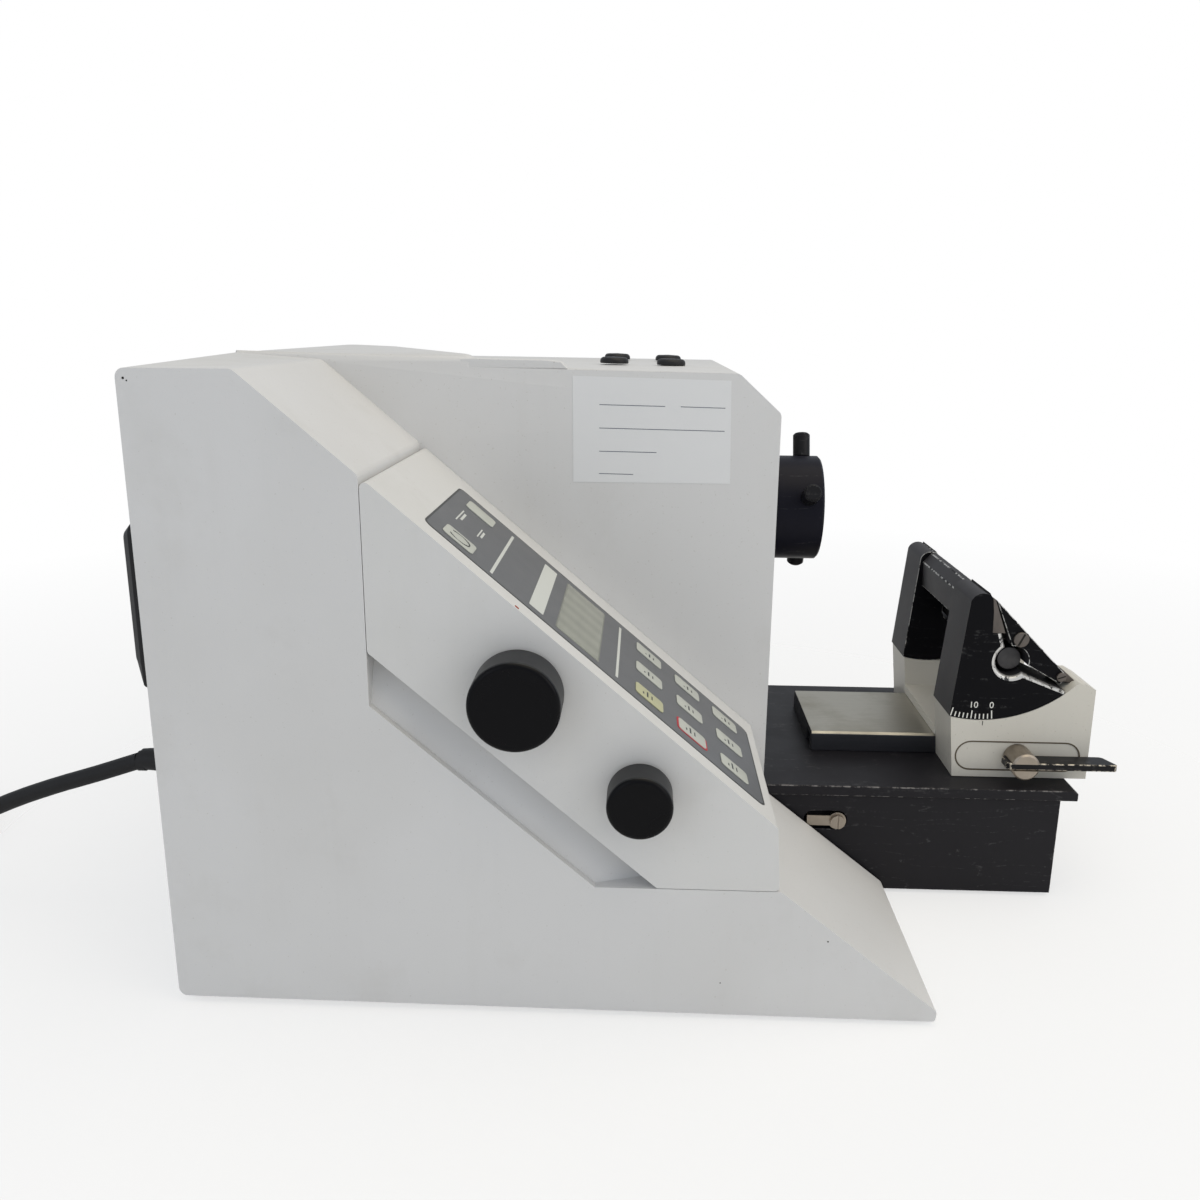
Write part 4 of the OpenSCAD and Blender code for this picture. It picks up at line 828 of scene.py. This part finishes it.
def coil_line():
    """The lead's turns: inwards on the table, then outwards on top of them."""
    points = []
    for turn in range(0, COIL_END + 1, 15):
        radius = COIL_RADIUS - 9 * eased(270, 360, turn) - 9 * eased(630, 720, turn)
        radius += 9 * eased(1170, 1260, turn) + 9 * eased(1530, 1620, turn)
        height = 0.5 + 9 * eased(900, 990, turn)
        angle = math.radians(-90 - turn)
        points.append(
            (COIL_CENTRE[0] + radius * math.cos(angle), COIL_CENTRE[1] + radius * math.sin(angle), height)
        )
    return points


def smooth_line(points, step=4):
    """A line through the points, rounded between them."""
    points = [Vector(p) for p in points]
    ends = [2 * points[0] - points[1], *points, 2 * points[-1] - points[-2]]
    line = []
    for a, b, c, d in zip(ends, ends[1:], ends[2:], ends[3:]):
        for i in range(step):
            t = i / step
            line.append(
                0.5 * (
                    2 * b + (c - a) * t + (2 * a - 5 * b + 4 * c - d) * t * t + (3 * b - a - 3 * c + d) * t**3
                )
            )
    return [*line, points[-1]]


class MICROTOME_OT_lead(bpy.types.Operator):
    """Lay the mains lead and wind up what the view leaves out"""

    bl_idname = "microtome.lead"
    bl_label = "Mains lead"

    def execute(self, context):
        radius = context.scene.microtome_lead.radius
        line = smooth_line([*LEAD_RUN, *coil_line(), *LEAD_TAIL], 3)
        curve = bpy.data.curves.new("mains_lead", "CURVE")
        curve.dimensions = "3D"
        curve.bevel_depth = radius
        curve.bevel_resolution = 4
        curve.use_fill_caps = True
        spline = curve.splines.new("POLY")
        spline.points.add(len(line) - 1)
        for point, place in zip(spline.points, line):
            point.co = (*spot(*place), 1.0)
        spline.use_smooth = True
        lead = bpy.data.objects.new("mains_lead", curve)
        context.scene.collection.objects.link(lead)
        curve.materials.append(finish("cord jacket"))
        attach(lead, "housing")
        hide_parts("cord_run", "cord_coil")
        length = sum((b - a).length for a, b in zip(line, line[1:])) * MM
        plug = dressed("mains_plug", "black plastic", "black plastic", 1.0)
        relief = dressed("cord_connector", "black plastic", "black plastic", 0.8)
        return {"FINISHED"}


# ---------------------------------------------------------------- housing


class MICROTOME_OT_covers(bpy.types.Operator):
    """Enamel the cover, the pod and the rear panel"""

    bl_idname = "microtome.covers"
    bl_label = "Covers"

    def execute(self, context):
        cover = dressed(
            "main_cover", "cover paint", None, 0.8, 3, front=(0.0, 3.2, lambda middle: middle.z > 1.0)
        )
        round_front(cover, WALL_Y, 2.2, lambda middle: middle.z > 200 and middle.x > -60)
        smooth(cover, 50)

        def moulding(x, y, z):
            """The rear edge rises, the lower edge laps the floor plate, the nose is full, the shelf falls."""
            if x < REAR_X + 24 and 285 < z < 292 and y < WALL_Y + 1:
                return 0.0, 0.0, min(y, 2.5) * 0.6 + y * 0.012
            if 30 < x < 66 and z > 278 and y > 100:
                return 6.0, 0.0, -2.0
            ahead = 5.4 * (1 - z / NOSE_TOP) if x > 75 and z < NOSE_TOP else 0.0
            return ahead, 0.0, (-1.2 - x / 200 if z < 1.2 else 0.0)

        moved(cover, moulding)
        pod = dressed(
            "control_pod", "pod paint", None, 0.8, 3, front=(0.0, 3.4, lambda middle: middle.x > -116.0)
        )
        rim = outline_piece(
            "top_rim",
            [[(-94, 286.5), (-38.2, 286.5), (-41.8, 290.2), (-49, 291.1), (-88, 291.6), (-94, 291.4)]],
            WALL_Y + 0.1,
            WALL_Y + 7,
            "cover paint",
            "housing",
        )
        soften(rim, 0.7, 0)
        # blank paper label and its ruled lines
        corners = [(-35.5, 228.4), (46.9, 228.4), (45.6, 281.4), (-35.9, 283.2)]
        label = outline_piece(
            "blank_label", [corners], WALL_Y - 0.14, WALL_Y - 0.02, "label paper", "housing"
        )
        lines = [
            outline_piece(
                "label_line",
                [[(x0, z), (x1, z + rise), (x1, z + rise + 0.35), (x0, z + 0.35)]],
                WALL_Y - 0.2,
                WALL_Y - 0.12,
                "label ink",
                "housing",
            )
            for x0, x1, z, rise in (
                (-22, 12, 268.5, -0.6),
                (20, 43, 267.8, -0.5),
                (-22, 43, 256.5, -1.0),
                (-22, 8, 244.5, -0.4),
                (-22, -4, 232.8, -0.3),
            )
        ]
        gathered("label_lines", lines, "label ink", "housing")
        chips = [
            rod("chip", x, z, radius, -PRINT, 0.3, "groove dark", "housing", sides=7)
            for x, z, radius in (
                (-210.6, 286.4, 0.55), (-209.2, 285.4, 0.35), (88.6, 38.2, 0.4), (40.6, 15.2, 0.3)
            )
        ]
        gathered("paint_chips", chips, "groove dark", "housing")
        dress(
            ("right_cover", "cover paint", None, 1.0, 3, "cover_paint"),
            ("rear_panel", "sheet metal", None, 0.3, 2, "sheet_metal"),
        )
        coat("floor_plate", "cast floor")
        coat("rubber_feet", "foot rubber")
        studs = dressed("top_studs", "black plastic", None, 0.3, 2)
        moved(studs, lambda x, y, z: (0.0, 0.0, -(x + 44) / 44))
        return {"FINISHED"}


class MICROTOME_OT_keypad(bpy.types.Operator):
    """Print the keypad foil and its keys"""

    bl_idname = "microtome.keypad"
    bl_label = "Keypad"

    def execute(self, context):
        bed = slope_plate("keypad_bed", *KEYPAD_BED, "pod paint", -0.8, 0.8)
        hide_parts("keypad_foil")
        (s0, y0), (s1, y1) = KEYPAD_FILM
        slope_plate("keypad_film_rim", (s0 - 0.5, y0 - 0.5), (s1 + 0.5, y1 + 0.5), "foil rim", 0.01, 0.1, 4.2)
        film = slope_plate("keypad_film", (s0 + 0.5, y0 + 0.5), (s1 - 0.5, y1 - 0.5), "foil", 0.02, 0.16, 3.4)
        pane = slope_plate("display_pane", (105.7, 18.9), (129.9, 98.0), "display pane", 0.2, 0.06, 0.6)
        slope_plate("display_frame", (105.0, 18.2), (130.6, 98.7), "display frame", 0.17, 0.06, 1.2)
        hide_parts("display_window")
        keys, yellow, red, marks, lines = [], [], [], [], []
        for i, along in enumerate((152.2, 178.6, 204.9)):
            for j, edge in enumerate((21.6, 53.1, 84.4)):
                low, high = (along, edge), (along + 16.8, edge + 13.4)
                kind = "key cap yellow" if (i, j) == (0, 0) else "key cap"
                key = slope_plate(f"key_{i}_{j}", low, high, kind, 0.18, 0.5, 2.2, bevel=0.25)
                (yellow if (i, j) == (0, 0) else keys).append(key)
                if (i, j) == (1, 0):
                    red.append(
                        slope_plate(
                            "key_red", (low[0] - 0.9, low[1] - 0.9), (high[0] + 0.9, high[1] + 0.9),
                            "key red", 0.17, 0.16, 2.8,
                        )
                    )
                for start, end, width, place in (
                    (4.2, 5.0, 2.6, 4.0), (6.6, 7.5, 6.4, 3.6), (9.4, 10.1, 4.6, 4.4)
                ):
                    shift = (i * 3 + j) % 3 * 0.8
                    marks.append(
                        slope_plate(
                            "key_mark", (low[0] + start + shift, low[1] + place),
                            (low[0] + end + shift, low[1] + place + width - shift), "key mark", 0.69, 0.03,
                        )
                    )
        for edge in (18.9, 82.2):
            keys.append(
                slope_plate(
                    "key_top", (40.1, edge), (57.1, edge + 14.2), "key cap", 0.18, 0.5, 2.2, bevel=0.25
                )
            )
        # open crescent on the near one
        turns = [math.radians(-150 + 290 * i / 24) for i in range(25)]
        outer = [(48.4 + 5.6 * math.cos(a), 26.2 + 4.4 * math.sin(a)) for a in turns]
        for (a, b), (c, d) in zip(outer, outer[1:]):
            marks.append(
                slope_plate(
                    "key_arc", (min(a, c) - 0.22, min(b, d) - 0.22), (max(a, c) + 0.22, max(b, d) + 0.22),
                    "key mark", 0.69, 0.03,
                )
            )
        for along, y0, y1 in ((68.35, 16.9, 98.0), (141.1, 19.2, 98.0)):
            lines.append(
                slope_plate("foil_line", (along - 0.75, y0), (along + 0.75, y1), "foil line", 0.19, 0.05, 0.3)
            )
        lines.append(slope_plate("foil_field", (89.8, 18.9), (97.9, 98.4), "foil line", 0.19, 0.05, 0.8))
        for low, high in (
            ((41.0, 49.6), (41.7, 72.0)), ((42.6, 55.0), (43.9, 68.5)), ((53.6, 50.4), (54.3, 66.4)),
            ((55.1, 53.0), (56.3, 64.0)),
        ):
            lines.append(slope_plate("foil_word", low, high, "foil line", 0.19, 0.04))
        scar = slope_plate("film_scar", (84.4, 1.2), (86.6, 3.0), "rust", 0.0, 0.08, 0.5)
        for name, parts, material in (
            ("keypad_keys", keys, "key cap"),
            ("keypad_yellow_key", yellow, "key cap yellow"),
            ("keypad_red_rim", red, "key red"),
            ("keypad_lines", lines, "foil line"),
            ("keypad_marks", marks, "key mark"),
        ):
            gathered(name, parts, material, "housing")
        return {"FINISHED"}


class MICROTOME_OT_knobs(bpy.types.Operator):
    """Finish the two knobs"""

    bl_idname = "microtome.knobs"
    bl_label = "Knobs"

    def execute(self, context):
        for node in ("coarse_feed_knob", "speed_knob"):
            knob = dressed(node, "knob skirt", None, 0.5, 3)
            low = min(v.co.y for v in knob.data.vertices)
            knob.data.materials.append(finish("knob face"))
            for face in knob.data.polygons:
                if face.center.y < low + 0.0016 and face.normal.y < -0.5:
                    face.material_index = 2
        return {"FINISHED"}


class MICROTOME_OT_rear(bpy.types.Operator):
    """Finish what is on the rear"""

    bl_idname = "microtome.rear"
    bl_label = "Rear fittings"

    def execute(self, context):
        guard = dressed("fan_cover", "black plastic", None, 0.8, 3)
        low = min(vertex.co.z for vertex in guard.data.vertices) / MM - DATUM.z
        moved(guard, lambda x, y, z: (-1.2 if x < REAR_X - 2 else 0.0, 0.0, -8.0 if z < low + 3 else 0.0))
        for node in ("fan_rotor", "fan_frame", "power_inlet", "power_switch"):
            coat(node, "black plastic")
        return {"FINISHED"}


class MICROTOME_OT_head(bpy.types.Operator):
    """Finish the specimen head and its screws"""

    bl_idname = "microtome.head"
    bl_label = "Specimen head"

    def execute(self, context):
        dress(("specimen_head", "head black", "head black edge", 0.7, 3, "head_anodised"))
        for node in ("head_screw_top", "head_screw_side", "head_screw_low"):
            dress((node, "screw black", "screw black edge", 0.35, 2, "head_anodised"))
        coat("specimen_cylinder", "turned steel")
        return {"FINISHED"}


class MICROTOME_OT_slide_base(bpy.types.Operator):
    """Finish the base block and its guide"""

    bl_idname = "microtome.slide_base"
    bl_label = "Slide base"

    def execute(self, context):
        block = dressed("knife_base", "base black", "base black edge", 0.8, 3)
        moved(block, lambda x, y, z: (0.0, 0.0, -2.9 if z < 1.2 else 0.0))
        dressed("base_top_plate", "base black", "base black edge", 0.6, 3)
        guide = pushed(dressed("guide_plate", "guide steel", "guide steel", 0.4, 2), 205, 7.0)
        guide.data.materials.append(finish("guide edge"))
        for face in guide.data.polygons:
            if face.normal.z < 0.6:
                face.material_index = 2
        dress(
            ("guide_screws", "steel", None, 0.1, 2, "steel"),
            ("base_clip", "nickel", None, 0.2, 2, "nickel"),
            ("base_clip_screw", "nickel", None, 0.2, 2, "nickel"),
        )
        return {"FINISHED"}


class MICROTOME_OT_knife_holder(bpy.types.Operator):
    """Finish the holder's ivory base and its side plate"""

    bl_idname = "microtome.knife_holder"
    bl_label = "Knife holder"

    def execute(self, context):
        holder = pushed(dressed("holder_base", "holder paint", None, 1.2, 3), 205, 7.0)
        moved(holder, lambda x, y, z: (0.0, 0.0, -1.6 if z > 118.4 else 0.0))
        dressed("holder_side_plate", "holder paint", None, 0.2, 2)
        ring_body = body_of("holder_side_plate")

        def obround(radius):
            return [*ring(241, 74.6, radius, -90, 90, 16), *ring(189, 74.6, radius, 90, 270, 16)]

        # a flat brown ring where the groove runs, with no recess: painted shade for the groove
        groove = outline_piece(
            "side_plate_groove_shade", [obround(8.9), obround(8.05)], NEAR - 0.07, NEAR + 0.1, "groove brown",
            ring_body,
        )
        return {"FINISHED"}


class MICROTOME_OT_segment(bpy.types.Operator):
    """Build the tilting segment and the hard strip beside its blade slit"""

    bl_idname = "microtome.segment"
    bl_label = "Tilting segment"

    def execute(self, context):
        x, z = KNIFE_EDGE
        body = body_of("segment")
        foot = [
            (FOOT_RADIUS * math.sin(math.radians(a)), -FOOT_RADIUS * math.cos(math.radians(a)))
            for a in [-13.2 + 53.4 * i / 36 for i in range(37)]
        ]
        hole = ring(*KEYHOLE, KEYHOLE_RADIUS, -46.5, -240, 40)
        arm = from_edge(
            [
                *foot, *hole, (8.2, -21.8), (2.7, -21.8), (2.2, -10), (1.0, -2), (-0.7, 1.0),
                *ring(-4.2, -5.9, 6.6, 60, 160, 8),
            ]
        )
        arms = []
        for low, high in (NEAR_ARM, FAR_ARM):
            piece = outline_piece("segment_arm", [arm], low, high, "segment black", body)
            name_piece(
                piece, "segment_arm", "segment black", "segment black edge", "bared metal", "segment side"
            )
            # faces that do not look straight to the front take the lighter grey: painted light on the arm's
            # sides and top
            for face in piece.data.polygons:
                if face.normal.y > -0.5:
                    face.material_index = 3
            if low == NEAR:
                round_front(
                    piece,
                    low,
                    2.5,
                    lambda middle: middle.x > x + 6.4
                    and z - 55.2 < middle.z < z - 22.5
                    and math.hypot(middle.x - x, middle.z - z) < 71.0,
                    material=2,
                    segments=3,
                    clamp=False,
                )
            arms.append(soften(piece, 0.7, 1))
        cross = outline_piece(
            "segment_cross",
            [from_edge([(-8.8, -6), (-4, -0.2), (-0.6, 0.2), (2.2, -10), (2.7, -21.8), (-8.0, -21.8)])],
            NEAR_ARM[1] - 0.2,
            FAR_ARM[0] + 0.2,
            "segment black",
            body,
        )
        # the cross piece takes the lighter grey as well: painted light on its faces
        name_piece(cross, "segment_cross", "segment side", "segment black edge")
        arms.append(soften(cross, 0.5, 1))
        made = join("tilting_segment", arms)
        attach(made, body)
        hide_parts("segment")

        strip = outline_piece(
            "hardened_strip",
            [from_edge([(1.3, -1.8), (2.9, -2.9), (9.8, -21.6), (2.85, -21.6), (2.35, -10)])],
            NEAR + 0.4,
            FAR - 0.4,
            "dull steel",
            body_of("back_strip"),
        )
        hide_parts("back_strip")
        soften(strip, 0.15, 0)
        return {"FINISHED"}


class MICROTOME_OT_knife_clamp(bpy.types.Operator):
    """Build the pressure plate, its tongue and screws, and the bar in the keyhole"""

    bl_idname = "microtome.knife_clamp"
    bl_label = "Knife clamp"

    def execute(self, context):
        x, z = KNIFE_EDGE
        plate_body = body_of("pressure_plate")
        plate = outline_piece(
            "pressure_plate_skin",
            [
                from_edge(
                    [
                        (3.4, -3.0), (45.2, -45.0), (42.6, -50.3), (23.9, -39.8),
                        *ring(*KEYHOLE, KEYHOLE_RADIUS + 0.1, -11, 97, 20),
                    ]
                )
            ],
            NEAR,
            FAR,
            "segment black",
            plate_body,
        )
        name_piece(plate, "pressure_plate_skin", "segment black", "segment black edge", "segment side")
        # the plate's sides and top take the lighter grey: painted light
        for face in plate.data.polygons:
            if abs(face.normal.y) < 0.5:
                face.material_index = 2
        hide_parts("pressure_plate")
        soften(plate, 0.45, 1)
        tongue = outline_piece(
            "plate_tongue", [
                from_edge([(43.6, -45.6), (45.6, -43.9), (53.2, -50.4), (52.2, -52.6), (43.2, -49.4)])
            ],
            NEAR + 7, FAR - 7, "dull steel", plate_body,
        )
        soften(tongue, 0.3, 0)
        bar = rod(
            "clamp_bar_skin", x + KEYHOLE[0], z + KEYHOLE[1], 6.6, NEAR + 6, FAR - 6, "bar steel",
            body_of("clamp_bar"), 0.6,
        )
        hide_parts("clamp_bar")

        screws = []
        for a, b, radius, turn in ((18.4, -24.9, 4.2, 65), (42.4, -46.0, 2.6, 20)):
            screws.append(
                rod("screw", x + a, z + b, radius, NEAR - 1.3, NEAR + 3, "dull steel", plate_body, 0.4, 32)
            )
            c, d = math.cos(math.radians(turn)), math.sin(math.radians(turn))
            long, wide = radius * 0.88, radius * 0.13
            # each slot is a thin dark plate on the screw head with no recess cut: painted shade for the slot
            slit = [
                (a + c * i * long - d * j * wide, b + d * i * long + c * j * wide)
                for i, j in ((-1, -1), (1, -1), (1, 1), (-1, 1))
            ]
            screws.append(
                outline_piece(
                    "screw_slot_shade", [from_edge(slit)], NEAR - 1.36, NEAR - 1.2, "groove dark", plate_body
                )
            )
        screws = join("plate_screws_skin", screws)
        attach(screws, plate_body)
        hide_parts("plate_screws")
        return {"FINISHED"}


class MICROTOME_OT_clearance_scale(bpy.types.Operator):
    """Print the clearance scale on the segment, and its mark on the holder"""

    bl_idname = "microtome.clearance_scale"
    bl_label = "Clearance scale"

    def execute(self, context):
        x, z = KNIFE_EDGE
        body = body_of("segment")
        ticks = []
        for k in range(11):
            angle, inner = 5.65 - 1.84 * k, 66.8 if k % 5 == 0 else 68.6
            c, d = math.cos(math.radians(angle)), math.sin(math.radians(angle))
            tick = [
                (d * r + c * w, -c * r + d * w)
                for r, w in ((inner, -0.3), (71.6, -0.3), (71.6, 0.3), (inner, 0.3))
            ]
            ticks.append(
                outline_piece("tick", [from_edge(tick)], NEAR - PRINT, NEAR + 0.05, "scale white", body)
            )
        ticks.append(numeral("0", x + 6.3, z - 65.0, NEAR - 0.03, 3.6, "scale white", body))
        ticks.append(numeral("10", x - 3.6, z - 65.0, NEAR - 0.03, 3.6, "scale white", body))
        gathered("clearance_scale", ticks, "scale white", body)
        mark = from_edge([(2.1, -75.4), (2.5, -75.4), (2.5, -72.8), (2.1, -72.8)])
        index = outline_piece(
            "scale_index", [mark], NEAR - PRINT, NEAR + 0.05, "groove dark", body_of("holder_base")
        )
        return {"FINISHED"}


class MICROTOME_OT_holder_lever(bpy.types.Operator):
    """Finish the lever that clamps the holder, and its shaft"""

    bl_idname = "microtome.holder_lever"
    bl_label = "Holder lever"

    def execute(self, context):
        dress(
            ("clamp_shaft", "nickel", None, 0.5, 3, "nickel"),
            ("clamp_lever", "lever black", "lever black edge", 0.6, 3, "segment_black"),
        )
        return {"FINISHED"}


class MICROTOME_OT_drive(bpy.types.Operator):
    """Finish the handwheel and the works inside"""

    bl_idname = "microtome.drive"
    bl_label = "Drive and works"

    def execute(self, context):
        dress(
            ("handwheel", "wheel paint", None, 1.0, 3, "wheel_paint"),
            ("handwheel_grip", "black plastic", None, 0.6, 2, "black_plastic"),
            ("lock_lever", "black plastic", None, 0.6, 2, "black_plastic"),
        )
        for material, nodes in (
            ("circuit board", ("control_board",)),
            ("alloy", ("knob_encoders", "shaft_pulley", "motor_pulley", "carriage")),
            ("transformer core", ("transformer",)),
            ("machine paint", ("main_frame",)),
            ("steel", ("guide_rails", "shaft_bearings", "crank_disc", "grip_spindle", "feed_screw")),
            ("turned steel", ("main_shaft",)),
            ("motor black", ("drive_motor", "feed_motor")),
            ("belt rubber", ("drive_belt",)),
            ("sheet metal", ("slot_shutter",)),
        ):
            for node in nodes:
                coat(node, material)
        return {"FINISHED"}


# ---------------------------------------------------------------- add-on


class MICROTOME_PT_panel(bpy.types.Panel):
    """Lists the pieces of the microtome"""

    bl_label = "Microtome"
    bl_idname = "MICROTOME_PT_panel"
    bl_space_type = "VIEW_3D"
    bl_region_type = "UI"
    bl_category = "Microtome"

    def draw(self, context):
        for group in ("microtome_colours", "microtome_view", "microtome_lead"):
            box = self.layout.box()
            values = getattr(context.scene, group)
            for name in values.__annotations__:
                box.prop(values, name)
        for operator in OPERATORS:
            self.layout.operator(operator.bl_idname)


GROUPS = (MICROTOME_PG_colours, MICROTOME_PG_view, MICROTOME_PG_lead)
OPERATORS = (
    MICROTOME_OT_stage, MICROTOME_OT_camera, MICROTOME_OT_lead, MICROTOME_OT_covers, MICROTOME_OT_keypad,
    MICROTOME_OT_knobs, MICROTOME_OT_rear, MICROTOME_OT_head, MICROTOME_OT_slide_base,
    MICROTOME_OT_knife_holder, MICROTOME_OT_segment, MICROTOME_OT_knife_clamp, MICROTOME_OT_clearance_scale,
    MICROTOME_OT_holder_lever, MICROTOME_OT_drive,
)


def register():
    """Registers the groups, the operators and the panel."""
    for made in (*GROUPS, *OPERATORS, MICROTOME_PT_panel):
        bpy.utils.register_class(made)
    bpy.types.Scene.microtome_colours = bpy.props.PointerProperty(type=MICROTOME_PG_colours)
    bpy.types.Scene.microtome_view = bpy.props.PointerProperty(type=MICROTOME_PG_view)
    bpy.types.Scene.microtome_lead = bpy.props.PointerProperty(type=MICROTOME_PG_lead)


def unregister():
    """Takes the values and the classes out again."""
    for name in ("microtome_colours", "microtome_view", "microtome_lead"):
        delattr(bpy.types.Scene, name)
    for made in reversed((*GROUPS, *OPERATORS, MICROTOME_PT_panel)):
        bpy.utils.unregister_class(made)


def main():
    """Makes every piece in order."""
    register()
    for operator in OPERATORS:
        getattr(bpy.ops.microtome, operator.bl_idname.split(".")[1])()
    rest()


if __name__ == "__main__":
    main()
